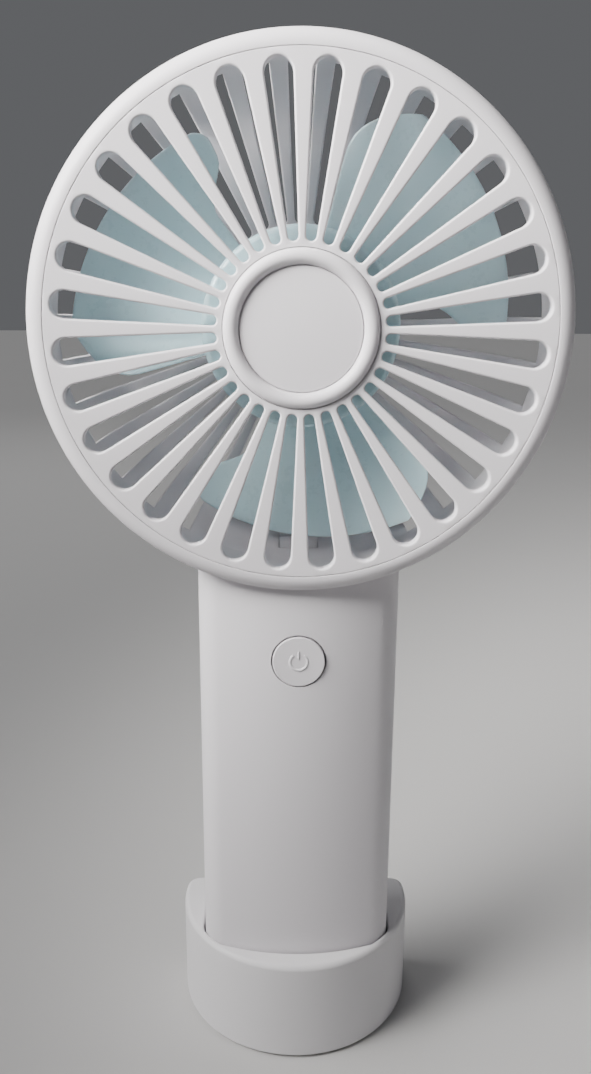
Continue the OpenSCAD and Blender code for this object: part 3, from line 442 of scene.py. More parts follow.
def vent_unit(kind, edge, seam):
    """One place of the rear guard, from rib middle to rib middle, built round the +X direction.

    kind is "open", "short" (open on the flat back only) or "closed". The two long boundaries
    are the same for every kind, so neighbours weld to one solid."""
    half, side = VENT_PITCH / 2, VENT_PITCH / 2 - RIB_ANGLE / 2
    turn = [half * k / 4 for k in range(4, -1, -1)]
    long_s = [1.0 * k / 14 for k in range(1, 15)] + [1 + (s_at_radius(HUB_DISC_R) - 1) * k / 6
                                                     for k in range(1, 7)]
    arc = BACK_CORNER_R * (math.pi / 2 - math.asin((JOINT_D - HEAD_DEPTH) / BACK_CORNER_R + 1))
    start_s = seam / arc
    rail_b = [(start_s, half - t) for t in turn] + [(s, half) for s in long_s]
    rail_b += [(long_s[-1], t) for t in turn[1:]]
    points, faces = [], []

    def put(s, a, depth):
        points.append(guard_point(s, 0, depth, a))
        return len(points) - 1

    for sign in (1, -1):
        if kind == "closed":
            rows = [start_s, *long_s]
            for depth in (0.0, HEAD_WALL):
                first = len(points)
                for s in rows:
                    for a in turn[::-1]:
                        put(s, sign * a, depth)
                faces += grid_faces(len(rows), len(turn), first)
        else:
            s0 = s_at_depth(VENT_START_D) if kind == "open" else s_at_radius(SHORT_VENT_R)
            s1 = s_at_radius(VENT_INNER_R)
            end_r = VENT_INNER_R * math.sin(side)

            def rail(grow):
                """The opening's edge, moved outwards by grow millimetres."""
                lead = s0 - grow / (arc if kind == "open" else HEAD_R - BACK_CORNER_R)
                out = [(lead, (side + grow / guard_surface(s0, 0)[0]) * (1 - t / half)) for t in turn]
                for k in range(len(long_s) - 1):
                    s = lead + (s1 - lead) * (k + 1) / len(long_s)
                    out.append((s, side + grow / guard_surface(s, 0)[0]))
                for t in turn:
                    b = math.pi / 2 * (1 - t / half)
                    x = VENT_INNER_R - (end_r + grow) * math.sin(b)
                    y = (end_r + grow) * math.cos(b)
                    out.append((s_at_radius(math.hypot(x, y)), math.atan2(y, x)))
                return out

            fillet = [(edge * (1 - math.sin(b)), edge * (1 - math.cos(b)))
                      for b in (math.pi / 8 * k for k in range(5))]
            rails = [(fillet[0][0], 0.0)] + fillet[1:] + [(g, HEAD_WALL - z) for g, z in fillet[::-1]]
            rings = []
            sub = 10 if kind == "short" else 2
            start = rail(fillet[0][0])
            for k in range(sub):
                w = k / sub
                rings.append([(b[0] + (a[0] - b[0]) * w, b[1] + (a[1] - b[1]) * w, 0.0)
                              for b, a in zip(rail_b, start)])
            rings += [[(s, a, z) for s, a in rail(g)] for g, z in rails]
            for k in range(sub - 1, -1, -1):
                w = k / sub
                rings.append([(b[0] + (a[0] - b[0]) * w, b[1] + (a[1] - b[1]) * w, HEAD_WALL)
                              for b, a in zip(rail_b, start)])
            first = len(points)
            for ring in rings:
                for s, a, z in ring:
                    put(s, sign * a, z)
            faces += grid_faces(len(rings), len(rail_b), first)
        # the joint's face with its bevel, and the back plate with the motor's seat
        r_joint = guard_surface(0.0, 0)[0]
        r_inner = guard_surface(0.0, HEAD_WALL)[0]
        flat = [(r, d) for r, d in rounded(
            [(HUB_DISC_R + 9, BACK_PLATE_D, 0), (SEAT_OUTER_R, BACK_PLATE_D, 0.4),
             (SEAT_OUTER_R, SEAT_FRONT_D, 0.3), (SEAT_R, SEAT_FRONT_D, 0.3),
             (SEAT_R, BACK_PLATE_D, 0)], 3) if r <= SEAT_OUTER_R + 2]
        paths = [[guard_surface(start_s, 0), (r_joint - seam, JOINT_D), (r_inner, JOINT_D),
                  guard_surface(start_s, HEAD_WALL)],
                 [(HUB_DISC_R, HEAD_DEPTH), (0.0, HEAD_DEPTH)],
                 [(HUB_DISC_R, BACK_PLATE_D), *flat, (0.0, BACK_PLATE_D)]]
        for path in paths:
            first = len(points)
            for r, d in path:
                for a in turn[::-1]:
                    points.append(Vector((r * math.cos(sign * a) * MM, d * MM,
                                          r * math.sin(sign * a) * MM)))
            faces += grid_faces(len(path), len(turn), first)
    mesh = bpy.data.meshes.new("vent_" + kind)
    mesh.from_pydata([tuple(p) for p in points], [], faces)
    return mesh


SLOTS = 32
SLOT_PITCH = 2 * math.pi / SLOTS
SLOT_ANGLE = math.radians(6.7)
SLOT_INNER_R = 15.3
SLOT_OUTER_R = HEAD_R - 4.8
GRILLE_T = 2.0
HUB_SEAT_R = float(HUB[1][0]) + 0.1
HUB_SEAT_D = 0.8


def slot_unit(edge):
    """One slot of the grille with half a bar on each side, built round the +X direction."""
    wo = SLOT_OUTER_R * math.sin(SLOT_ANGLE / 2) / (1 + math.sin(SLOT_ANGLE / 2))
    wi = SLOT_INNER_R * math.sin(SLOT_ANGLE / 2) / (1 - math.sin(SLOT_ANGLE / 2))
    xo, xi = SLOT_OUTER_R - wo, SLOT_INNER_R + wi
    lean = math.acos((wo - wi) / (xo - xi))
    half = SLOT_PITCH / 2
    ends, run = 12, 10

    def rail(grow):
        outer = [(xo + (wo + grow) * math.cos(a), (wo + grow) * math.sin(a))
                 for a in ((math.pi - lean) * k / ends for k in range(ends + 1))]
        inner = [(xi + (wi + grow) * math.cos(a), (wi + grow) * math.sin(a))
                 for a in (math.pi - lean + lean * k / ends for k in range(ends + 1))]
        p, q = outer[-1], inner[0]
        side = [(p[0] + (q[0] - p[0]) * k / run, p[1] + (q[1] - p[1]) * k / run)
                for k in range(1, run)]
        return outer + side + inner

    def opposite(outer_r, inner_r):
        out = [(outer_r * math.cos(half * k / ends), outer_r * math.sin(half * k / ends))
               for k in range(ends + 1)]
        out += [((outer_r + (inner_r - outer_r) * k / run) * math.cos(half),
                 (outer_r + (inner_r - outer_r) * k / run) * math.sin(half)) for k in range(1, run)]
        return out + [(inner_r * math.cos(half * (1 - k / ends)), inner_r * math.sin(half * (1 - k / ends)))
                      for k in range(ends + 1)]

    rim = 0.1
    bend = [(edge * (1 - math.sin(b)), edge * (1 - math.cos(b)))
            for b in (math.pi / 10 * k for k in range(6))]
    back = [(0.6 * g, 0.6 * z) for g, z in bend]
    points, faces = [], []
    n = 2 * ends + run + 1
    for sign in (1, -1):
        rings = [[(x, 0.0, y) for x, y in opposite(GRILLE_R - rim, HUB_SEAT_R)]]
        rings += [[(x, z, y) for x, y in rail(g)] for g, z in bend]
        rings += [[(x, GRILLE_T - z, y) for x, y in rail(g)] for g, z in back[::-1]]
        rings += [[(x, GRILLE_T, y) for x, y in opposite(GRILLE_R, HUB_SEAT_R)]]
        first = len(points)
        for ring in rings:
            points += [Vector((x * MM, d * MM, sign * y * MM)) for x, d, y in ring]
        faces += grid_faces(len(rings), n, first)
        arc = [half * k / ends for k in range(ends + 1)]
        edge_path = [(GRILLE_R - rim * (1 - math.sin(b)), rim * (1 - math.cos(b)))
                     for b in (math.pi / 6 * k for k in range(4))] + [(GRILLE_R, GRILLE_T)]
        seat_path = [(HUB_SEAT_R, 0.0), (HUB_SEAT_R, HUB_SEAT_D), (0.0, HUB_SEAT_D)]
        for path in (edge_path, seat_path, [(HUB_SEAT_R, GRILLE_T), (0.0, GRILLE_T)]):
            first = len(points)
            for r, d in path:
                points += [Vector((r * math.cos(a) * MM, d * MM, sign * r * math.sin(a) * MM))
                           for a in arc]
            faces += grid_faces(len(path), ends + 1, first)
    mesh = bpy.data.meshes.new("slot")
    mesh.from_pydata([tuple(p) for p in points], [], faces)
    return mesh


# ---------- patterns with Geometry Nodes ----------


def round_pattern(name, kinds, count, first_angle, finish, reach=()):
    """Copies of unit meshes round the head's axis, welded to one mesh by a node tree.

    kinds are the unit meshes; reach gives, for each but the first, how many places from the
    middle of the row it goes up to. The tree's inputs are Count, Centre, First angle, Units
    and Finish."""
    tree = bpy.data.node_groups.new(name + " round pattern", "GeometryNodeTree")
    face = tree.interface
    face.new_socket("Geometry", in_out="INPUT", socket_type="NodeSocketGeometry")
    inputs = {"Count": "NodeSocketInt", "Centre": "NodeSocketVector", "First angle": "NodeSocketFloat",
              "Weld": "NodeSocketFloat", "Finish": "NodeSocketMaterial"}
    for label, kind in inputs.items():
        face.new_socket(label, in_out="INPUT", socket_type=kind)
    for k in range(len(kinds)):
        face.new_socket(f"Unit {k + 1}", in_out="INPUT", socket_type="NodeSocketObject")
        if k:
            face.new_socket(f"Reach {k + 1}", in_out="INPUT", socket_type="NodeSocketFloat")
    face.new_socket("Geometry", in_out="OUTPUT", socket_type="NodeSocketGeometry")
    nodes, links = tree.nodes, tree.links

    def node(kind, operation=None, **sockets):
        made = nodes.new(kind)
        if operation:
            made.operation = operation
        for label, value in sockets.items():
            socket = made.inputs[int(label[1:])] if label[0] == "_" and label[1:].isdigit() \
                else made.inputs[label.replace("_", " ")]
            if isinstance(value, bpy.types.NodeSocket):
                links.new(value, socket)
            else:
                socket.default_value = value
        return made

    given = nodes.new("NodeGroupInput").outputs
    index = nodes.new("GeometryNodeInputIndex").outputs[0]
    places = node("GeometryNodePoints", Count=given["Count"], Position=given["Centre"])
    pitch = node("ShaderNodeMath", "DIVIDE", _0=2 * math.pi, _1=given["Count"]).outputs[0]
    turn = node("ShaderNodeMath", "MULTIPLY_ADD", _0=index, _1=pitch, _2=given["First angle"]).outputs[0]
    back = node("ShaderNodeMath", "MULTIPLY", _0=turn, _1=-1.0).outputs[0]
    euler = node("ShaderNodeCombineXYZ", Y=back).outputs[0]
    middle = node("ShaderNodeMath", "DIVIDE", _0=given["Count"], _1=2.0).outputs[0]
    away = node("ShaderNodeMath", "SUBTRACT", _0=index, _1=middle).outputs[0]
    off = node("ShaderNodeMath", "ABSOLUTE", _0=away).outputs[0]
    join = nodes.new("GeometryNodeJoinGeometry")
    inner = None
    for k in range(len(kinds) - 1, -1, -1):
        unit = node("GeometryNodeObjectInfo", Object=given[f"Unit {k + 1}"])
        unit.transform_space = "ORIGINAL"
        placed = node("GeometryNodeInstanceOnPoints", Points=places.outputs[0],
                      Instance=unit.outputs["Geometry"], Rotation=euler)
        pick = None
        if k:
            within = node("ShaderNodeMath", "LESS_THAN", _0=off, _1=given[f"Reach {k + 1}"]).outputs[0]
            pick = within if inner is None else \
                node("ShaderNodeMath", "SUBTRACT", _0=within, _1=inner).outputs[0]
            inner = within
        elif inner is not None:
            pick = node("ShaderNodeMath", "SUBTRACT", _0=1.0, _1=inner).outputs[0]
        if pick is not None:
            links.new(pick, placed.inputs["Selection"])
        links.new(placed.outputs[0], join.inputs[0])
    real = node("GeometryNodeRealizeInstances", Geometry=join.outputs[0])
    weld = node("GeometryNodeMergeByDistance", Geometry=real.outputs[0], Distance=given["Weld"])
    paint = node("GeometryNodeSetMaterial", Geometry=weld.outputs[0], Material=given["Finish"])
    links.new(paint.outputs[0], nodes.new("NodeGroupOutput").inputs[0])

    units = [scratch_object(mesh) for mesh in kinds]
    holder = scratch_object(bpy.data.meshes.new(name))
    step = holder.modifiers.new("Pattern", "NODES")
    step.node_group = tree
    values = {"Count": count, "Centre": at(0, 0, HEAD_Z), "First angle": first_angle, "Weld": 2e-6,
              "Finish": finish}
    for k, unit in enumerate(units):
        values[f"Unit {k + 1}"] = unit
        if k:
            values[f"Reach {k + 1}"] = reach[k - 1]
    for item in face.items_tree:
        if item.in_out == "INPUT" and item.name in values:
            step[item.identifier] = values[item.name]
    holder.update_tag()
    mesh = settled(holder, name)
    for unit in units:
        bpy.data.objects.remove(unit)
    if not mesh.polygons:
        raise RuntimeError(f"{name}: the pattern is empty")
    return tidy_mesh(mesh)


# ---------- finishes ----------


def surface(name, colour, rough, pattern="grain", scale=1500.0, depth=0.01, mottle=0.03,
            mottle_scale=40.0, spread=0.06, stretch=(1, 1, 1), centre=None, **sockets):
    """A procedural finish in Object coordinates: tone, roughness and relief all vary.

    pattern is grain, turns, cells, tracks or spangle; depth is its relief in mm.
    The other named values go straight onto the shader's sockets."""
    made = bpy.data.materials.new(name)
    made.use_nodes = True
    nodes, links = made.node_tree.nodes, made.node_tree.links
    shader = nodes["Principled BSDF"]

    def node(kind, **values):
        new = nodes.new(kind)
        for key, value in values.items():
            if hasattr(new, key):
                setattr(new, key, value)
            else:
                socket = new.inputs[key.replace("_", " ")]
                if isinstance(value, bpy.types.NodeSocket):
                    links.new(value, socket)
                else:
                    socket.default_value = value
        return new

    place = node("ShaderNodeTexCoord").outputs["Object"]
    if stretch != (1, 1, 1) or centre is not None:
        origin = centre or Vector((0, 0, 0))
        place = node("ShaderNodeMapping", vector_type="TEXTURE", Vector=place, Location=origin,
                     Scale=stretch).outputs[0]
    tone = node("ShaderNodeTexNoise", Vector=place, Scale=mottle_scale, Detail=4.0, Roughness=0.55)
    light = [min(1.0, c * (1 + mottle)) for c in colour] + [1]
    dark = [c * (1 - mottle) for c in colour] + [1]
    mix = node("ShaderNodeMix", data_type="RGBA")
    links.new(tone.outputs[0], mix.inputs["Factor"])
    mix.inputs[6].default_value, mix.inputs[7].default_value = dark, light
    fine = node("ShaderNodeTexNoise", Vector=place, Scale=scale, Detail=5.0, Roughness=0.6)
    height = fine.outputs[0]
    if pattern == "turns":
        height = node("ShaderNodeTexWave", wave_type="RINGS", rings_direction="SPHERICAL", Vector=place,
                      Scale=scale, Distortion=0.6, Detail=1.0).outputs[1]
    elif pattern == "cells":
        height = node("ShaderNodeTexVoronoi", Vector=place, Scale=scale, Randomness=1.0).outputs[0]
    elif pattern == "tracks":
        height = node("ShaderNodeTexBrick", Vector=place, Scale=scale, Mortar_Size=0.03).outputs[1]
    elif pattern == "spangle":
        height = node("ShaderNodeTexVoronoi", Vector=place, Scale=scale, feature="SMOOTH_F1").outputs[0]
    if pattern in ("cells", "tracks", "turns", "spangle"):
        second = node("ShaderNodeMix", data_type="RGBA", blend_type="MULTIPLY")
        second.inputs["Factor"].default_value = 0.55 if pattern != "spangle" else 0.12
        links.new(mix.outputs[2], second.inputs[6])
        links.new(height, second.inputs[7])
        mix = second
    links.new(mix.outputs[2], shader.inputs["Base Color"])
    # rubbed places are a little smoother, handled ones a little duller
    rubbed = node("ShaderNodeTexNoise", Vector=place, Scale=mottle_scale * 3.1, Detail=3.0)
    both = node("ShaderNodeMath", operation="ADD")
    links.new(fine.outputs[0], both.inputs[0])
    links.new(rubbed.outputs[0], both.inputs[1])
    span = node("ShaderNodeMapRange", From_Min=0.7, From_Max=1.3, To_Min=max(0.02, rough - spread),
                To_Max=min(1.0, rough + spread))
    links.new(both.outputs[0], span.inputs["Value"])
    links.new(span.outputs[0], shader.inputs["Roughness"])
    bump = node("ShaderNodeBump", Strength=1.0, Distance=depth * MM)
    links.new(height, bump.inputs["Height"])
    links.new(bump.outputs[0], shader.inputs["Normal"])
    for label, value in sockets.items():
        shader.inputs[label.replace("_", " ")].default_value = value
    made.diffuse_color = (*colour, 1)
    return made


FINISHES = {}


def finish(slot):
    """The finish for one material slot of the record, made once."""
    if slot in FINISHES:
        return FINISHES[slot]
    shell = bpy.context.scene.fan_shell
    air = bpy.context.scene.fan_impeller
    grain = shell.grain / MM
    centre = at(0, 0, HEAD_Z)
    axis = (1, 1000, 1)
    recipes = {
        "shell_plastic": dict(colour=shell.shell_colour, rough=0.46, scale=1700, depth=grain,
                              mottle=0.012, mottle_scale=28, Specular_IOR_Level=0.45),
        "grille_plastic": dict(colour=shell.shell_colour, rough=0.43, scale=1900, depth=grain * 0.8,
                               mottle=0.01, mottle_scale=31, Specular_IOR_Level=0.45),
        "cradle_plastic": dict(colour=shell.cradle_colour, rough=0.5, scale=1500, depth=grain * 1.3,
                               mottle=0.014, mottle_scale=30, Specular_IOR_Level=0.4),
        "impeller_plastic": dict(colour=air.tint, rough=0.3, scale=900, depth=0.006, mottle=0.05,
                                 mottle_scale=55, stretch=(1, 3, 1), centre=centre,
                                 Subsurface_Weight=air.clarity, Subsurface_Scale=0.004,
                                 Subsurface_Radius=(0.8, 0.95, 1.0),
                                 Coat_Weight=0.15, Coat_Roughness=0.2),
        "pad_rubber": dict(colour=(0.42, 0.42, 0.43), rough=0.8, pattern="cells", scale=900, depth=0.08),
        "can_steel": dict(colour=(0.56, 0.57, 0.59), rough=0.32, pattern="spangle", scale=420,
                          depth=0.004, mottle=0.08, mottle_scale=90, Metallic=1.0),
        "black_plastic": dict(colour=(0.03, 0.03, 0.033), rough=0.42, scale=1400, depth=0.012,
                              mottle=0.15),
        "shaft_steel": dict(colour=(0.62, 0.63, 0.65), rough=0.2, scale=2600, depth=0.002,
                            stretch=(1, 9, 1), mottle=0.05, mottle_scale=200, Metallic=1.0),
        "bushing_bronze": dict(colour=(0.45, 0.27, 0.12), rough=0.45, pattern="cells", scale=3500,
                               depth=0.01, mottle=0.12, mottle_scale=250, Metallic=1.0),
        "copper": dict(colour=(0.60, 0.22, 0.09), rough=0.28, pattern="turns", scale=620, depth=0.08,
                       mottle=0.1, mottle_scale=120, centre=centre, stretch=axis, Metallic=1.0),
        "screw_steel": dict(colour=(0.55, 0.56, 0.58), rough=0.3, scale=3000, depth=0.006, mottle=0.09,
                            mottle_scale=400, Metallic=1.0),
        "wire_red": dict(colour=(0.42, 0.02, 0.02), rough=0.38, scale=1200, depth=0.01, mottle=0.12,
                         mottle_scale=150),
        "wire_black": dict(colour=(0.02, 0.02, 0.022), rough=0.4, scale=1200, depth=0.01, mottle=0.2,
                           mottle_scale=150),
        "cell_wrap": dict(colour=(0.03, 0.13, 0.30), rough=0.24, scale=260, depth=0.03, mottle=0.08,
                          stretch=(1, 1, 5), Coat_Weight=0.4, Coat_Roughness=0.1),
        "foam": dict(colour=(0.05, 0.05, 0.055), rough=0.95, pattern="cells", scale=1500, depth=0.25),
        "board_green": dict(colour=(0.012, 0.11, 0.04), rough=0.3, pattern="tracks", scale=160,
                            depth=0.03, mottle=0.15, mottle_scale=120, Coat_Weight=0.5),
        "plunger_plastic": dict(colour=(0.62, 0.60, 0.53), rough=0.45, scale=1500, depth=0.01),
        "ceramic": dict(colour=(0.35, 0.23, 0.13), rough=0.4, scale=2500, depth=0.01, mottle=0.1),
        "light_clear": dict(colour=(0.80, 0.84, 0.86), rough=0.12, scale=1500, depth=0.004,
                            Transmission_Weight=0.85, IOR=1.49),
    }
    recipe = dict(recipes[slot])
    FINISHES[slot] = surface(slot + "_finish", tuple(recipe.pop("colour")), recipe.pop("rough"), **recipe)
    return FINISHES[slot]


# ---------- pieces ----------


def loft(name, rings):
    """A closed solid through rings with equal numbers of (x, d, z) points."""
    n = len(rings[0])
    points = [at(*p) for ring in rings for p in ring]
    faces = grid_faces(len(rings), n, closed=True)
    faces += [tuple(range(n)), tuple(range(len(points) - n, len(points)))]
    return make_mesh(name, points, faces)


def ring_at(outline, inset, z):
    """The points of an inset outline at one height."""
    return [(x, d, z) for x, d in outline.inset(inset)]


def bend(radius, steps=5):
    """(inset, height) pairs of a rounded edge, from the face to the wall."""
    return [(radius * (1 - math.sin(a)), radius * (1 - math.cos(a)))
            for a in (math.pi / 2 * k / steps for k in range(steps + 1))]


CUP_TOP = float(CUP[1][2])
CUP_LOW = float(CUP[0][2])
PAD_TOP = float(node_box("base_pad")[1][2])
SOCKET_GAP = 0.4
PAD_INSET = 1.2


def cradle_meshes():
    """The cradle's cup with the handle's socket, and the pad in its underside."""
    middle = float(CUP[1][1] + CUP[0][1]) / 2 - FACE_Y
    rear, front = handle_outline()
    outer = cradle_outline().by_direction(middle, 240)
    socket = Outline(np.r_[rear.points, front.points]).by_direction(middle, 240)
    rings = [ring_at(outer, PAD_INSET, PAD_TOP), ring_at(outer, PAD_INSET, CUP_LOW)]
    rings += [ring_at(outer, g, CUP_LOW + z) for g, z in bend(0.7)]
    rings += [ring_at(outer, g, CUP_TOP - z) for g, z in bend(1.1, 7)[::-1]]
    rings += [ring_at(socket, -SOCKET_GAP - g, CUP_TOP - z) for g, z in bend(0.5)]
    rings += [ring_at(socket, -SOCKET_GAP, HANDLE_Z + 0.8)]
    rings += [ring_at(socket, -SOCKET_GAP + 0.8 - g, HANDLE_Z + 0.8 - 0.8 + z)
              for g, z in bend(0.8)[::-1]]
    cup = loft("cradle", rings)
    pad = [ring_at(outer, PAD_INSET + 0.1 + 0.4, 0.0)]
    pad += [ring_at(outer, PAD_INSET + 0.1 + g, z) for g, z in bend(0.4, 4)]
    pad += [ring_at(outer, PAD_INSET + 0.1, PAD_TOP)]
    return cup, loft("pad", pad)


def handle_half(name, outline, seam, toward):
    """Half of the handle's wall with its floor, open at the joint, reaching into the head's wall."""
    p = outline.points
    outer = np.vstack([p[:1], p[:1], p[1:-1], p[-1:], p[-1:]])
    outer[[1, -2], 1] += seam * toward
    inner = outer.copy()
    outer[[0, -1], 0] -= seam * np.sign(outer[[0, -1], 0])
    middle_r, centre_d = BACK_CORNER_R - HEAD_WALL / 2, HEAD_DEPTH - BACK_CORNER_R

    def top(x, d):
        r = HEAD_R - HEAD_WALL / 2
        if d > centre_d:
            r = HEAD_R - BACK_CORNER_R + math.sqrt(max(0, middle_r ** 2 - (d - centre_d) ** 2))
        return HEAD_Z - math.sqrt(r * r - x * x)

    heights = [10, 20, 40, 60, 78, 83, 88, 93, 98, 103]
    rings = [ring_at(Outline(outer), g, HANDLE_Z + z) for g, z in bend(1.0)]
    rings += [ring_at(Outline(outer), 0, z) for z in heights]
    rings.append([(x, d, top(x, d)) for x, d in Outline(outer).inset(0)])
    inside = [ring_at(Outline(inner), SHELL_WALL, z) for z in (HANDLE_Z + SHELL_WALL, *heights)]
    inside.append([(x, d, top(x, d)) for x, d in Outline(inner).inset(SHELL_WALL)])
    n, rows, rows_in = len(outer), len(rings), len(inside)
    points = [at(*q) for ring in rings + inside for q in ring]
    first = rows * n
    faces = grid_faces(rows, n) + grid_faces(rows_in, n, first)
    faces += [tuple(range(n)), tuple(range(first, first + n))]
    last, last_in = (rows - 1) * n, first + (rows_in - 1) * n
    faces += [(last + j, last + j + 1, last_in + j + 1, last_in + j) for j in range(n - 1)]
    side = [k * n for k in range(rows - 1, -1, -1)] + [k * n + n - 1 for k in range(rows)]
    back = [first + k * n + n - 1 for k in range(rows_in - 1, -1, -1)]
    faces.append(tuple(side + back + [first + k * n for k in range(rows_in)]))
    return make_mesh(name, points, faces)


CASE_BOSS_X = 14.4
CASE_SCREW_Z = (31.8, 99.3)
CASE_SEAT_D = 21.66
POST_X = 8.0
POST_Z = (78.8, 101.3)
BOARD_D = 14.0
BUTTON_R = 5.25
BUTTON_GAP = 0.3
SLEEVE_BACK_D = 8.0
SLEEVE_WALL = 1.5
HOLE_EDGE = 0.14
GRILLE_GAP = 0.1
LEDGE_W = 1.0
LEDGE_T = 1.6
POST_R = 2.0
CASE_POST_R = 2.6
CASE_POST_D = (6.5, 23.0)
FACE_GAP = 0.02  # keeps two faces out of one plane, for the exact solver


def front_at(x):
    """Depth of the handle's curved front face at a place across."""
    return HANDLE_FRONT_D + FACE_CURVE - math.sqrt(FACE_CURVE ** 2 - x * x)


def front_shell_mesh(seam):
    """The ring round the grille and the handle's front, with its posts and the button's hole."""
    joint_r, joint_in_r = guard_surface(0.0, 0)[0], guard_surface(0.0, HEAD_WALL)[0]
    centre_d = HEAD_DEPTH - BACK_CORNER_R
    seat_r = GRILLE_R + GRILLE_GAP
    profile = rounded([
        (seat_r, 0, 0.1), (HEAD_R, 0, RIM_R), (HEAD_R, centre_d, 0),
        (HEAD_R - 0.03, centre_d + 1, 0), (joint_r + 0.02, JOINT_D - seam, 0),
        (joint_r - seam, JOINT_D, 0), (joint_in_r, JOINT_D, 0), (HEAD_R - HEAD_WALL, centre_d, 0),
        (HEAD_R - HEAD_WALL, GRILLE_T + LEDGE_T, 0.3), (seat_r - LEDGE_W, GRILLE_T + LEDGE_T, 0.3),
        (seat_r - LEDGE_W, GRILLE_T, 0.2), (seat_r, GRILLE_T, 0)])
    ring = turned("front_ring", profile, 288)
    extras = [handle_half("front_half", handle_outline()[1], seam, -1)]
    extras += [rod("post", x, z, POST_R, HANDLE_FRONT_D + 1.2, BOARD_D, 24)
               for x in (-POST_X, POST_X) for z in POST_Z]
    extras += [rod("case_post", x, z, CASE_POST_R, CASE_POST_D[0], JOINT_D - FACE_GAP, 24)
               for x in (-CASE_BOSS_X, CASE_BOSS_X) for z in CASE_SCREW_Z]
    extras.append(rod("sleeve", 0, BUTTON_Z, BUTTON_R + SLEEVE_WALL, HANDLE_FRONT_D + 1,
                      SLEEVE_BACK_D, 96))
    shell = combined(ring, extras, "UNION", "front_shell_union")
    hole = BUTTON_R + BUTTON_GAP
    around = 96
    rings = []
    for grow, drop in [(HOLE_EDGE, -1.5), *bend(HOLE_EDGE)]:
        ring_points = []
        for k in range(around):
            a = 2 * math.pi * k / around
            x, z = (hole + grow) * math.cos(a), (hole + grow) * math.sin(a)
            ring_points.append((x, front_at(x) + drop, BUTTON_Z + z))
        rings.append(ring_points)
    rings.append([(hole * math.cos(2 * math.pi * k / around), SLEEVE_BACK_D + 1,
                   BUTTON_Z + hole * math.sin(2 * math.pi * k / around)) for k in range(around)])
    return combined(shell, [loft("button_hole", rings)], "DIFFERENCE", "front_shell")


def pill_ring(w, h, d, z, steps=14):
    """A flat outline with round ends at one depth."""
    out = []
    for side, start in ((1, -90), (-1, 90)):
        for k in range(steps + 1):
            a = math.radians(start + 180 * k / steps)
            out.append((side * (w - h) / 2 + h / 2 * math.cos(a), d, z + h / 2 * math.sin(a)))
    return out


MOUTH_Z = 81.8
LIGHT_Z = 88.8
CHANNEL_HALF = 4.6
CHANNEL_FRONT_D = BACK_PLATE_D - 2.9
CHANNEL_WALL = 1.2
CHANNEL_LOW = 40.6
CHANNEL_TOP_GAP = 0.7
EAR_R = 2.0
EAR_REACH = 0.7
WIRE_HALF = 4.2
WIRE_HOLE_D = (19.5, 25.4)
WIRE_HOLE_LOW, WIRE_HOLE_REACH = 50.8, 12
MOUTH_W, MOUTH_H = 9.7, 3.9
LIGHT_R = 1.0
RECESS_R = 1.75


def rear_shell_mesh(edge, seam):
    """The ribbed guard with the motor's seat and the handle's back, with its openings."""
    kinds = [vent_unit(kind, edge, seam) for kind in ("open", "short", "closed")]
    guard = round_pattern("guard", kinds, VENTS, math.pi / 2, finish("shell_plastic"), (2.5, 1.5))
    extras = [handle_half("rear_half", handle_outline()[0], seam, 1)]
    extras += [rod("case_post", x, z, CASE_POST_R, JOINT_D + FACE_GAP, CASE_POST_D[1], 24)
               for x in (-CASE_BOSS_X, CASE_BOSS_X) for z in CASE_SCREW_Z]
    ear_x = SEAT_OUTER_R + EAR_REACH
    extras += [rod("ear", x, HEAD_Z, EAR_R, SEAT_FRONT_D, BACK_PLATE_D + 1, 32, 0.2)
               for x in (-ear_x, ear_x)]
    for s in (-1, 1):
        low, high = sorted((s * CHANNEL_HALF, s * (CHANNEL_HALF + CHANNEL_WALL)))
        extras.append(block("channel_wall", (low, CHANNEL_FRONT_D, HEAD_Z - CHANNEL_LOW),
                            (high, BACK_PLATE_D + 1, HEAD_Z - SEAT_R - CHANNEL_TOP_GAP)))
    shell = combined(guard, extras, "UNION", "rear_shell_union")
    back = HANDLE_BACK_D
    cuts = [block("wire_hole", (-WIRE_HALF, WIRE_HOLE_D[0], HEAD_Z - WIRE_HOLE_LOW),
                  (WIRE_HALF, WIRE_HOLE_D[1], HEAD_Z - HEAD_R + WIRE_HOLE_REACH)),
            block("wire_gate", (-WIRE_HALF, CHANNEL_FRONT_D + 1, HEAD_Z - SEAT_R - 2.5),
                  (WIRE_HALF, BACK_PLATE_D - FACE_GAP, HEAD_Z - 6)),
            loft("mouth", [pill_ring(MOUTH_W + g, MOUTH_H + g, d, MOUTH_Z)
                           for g, d in ((0, back - 4), (0, back - 0.75), (0.12, back - 0.5),
                                        (0.4, back - 0.28), (1.0, back - 0.05), (1.0, back + 2))]),
            rod("light_hole", 0, LIGHT_Z, LIGHT_R, back - 4, back + 2, 32)]
    cuts += [rod("recess", x, z, RECESS_R, CASE_SEAT_D, back + 2, 40, 0.15)
             for x in (-CASE_BOSS_X, CASE_BOSS_X) for z in CASE_SCREW_Z]
    return combined(shell, cuts, "DIFFERENCE", "rear_shell")


BLADE_T = 1.2
HUB_R, HUB_WALL = 18.5, 1.3
HUB_FRONT_D, HUB_BACK_D = 5.5, 20.0
TIP_R = HEAD_R - HEAD_WALL - 5.1
TIP_SWEEP = 1.5
LEAD_ANGLE, TRAIL_ANGLE, TRAIL_SWEEP = 11, 79, 16
BLADE_EDGE = 0.55
CAMBER = 4.4
BOSS_R, BORE_R = 3.2, 1.0


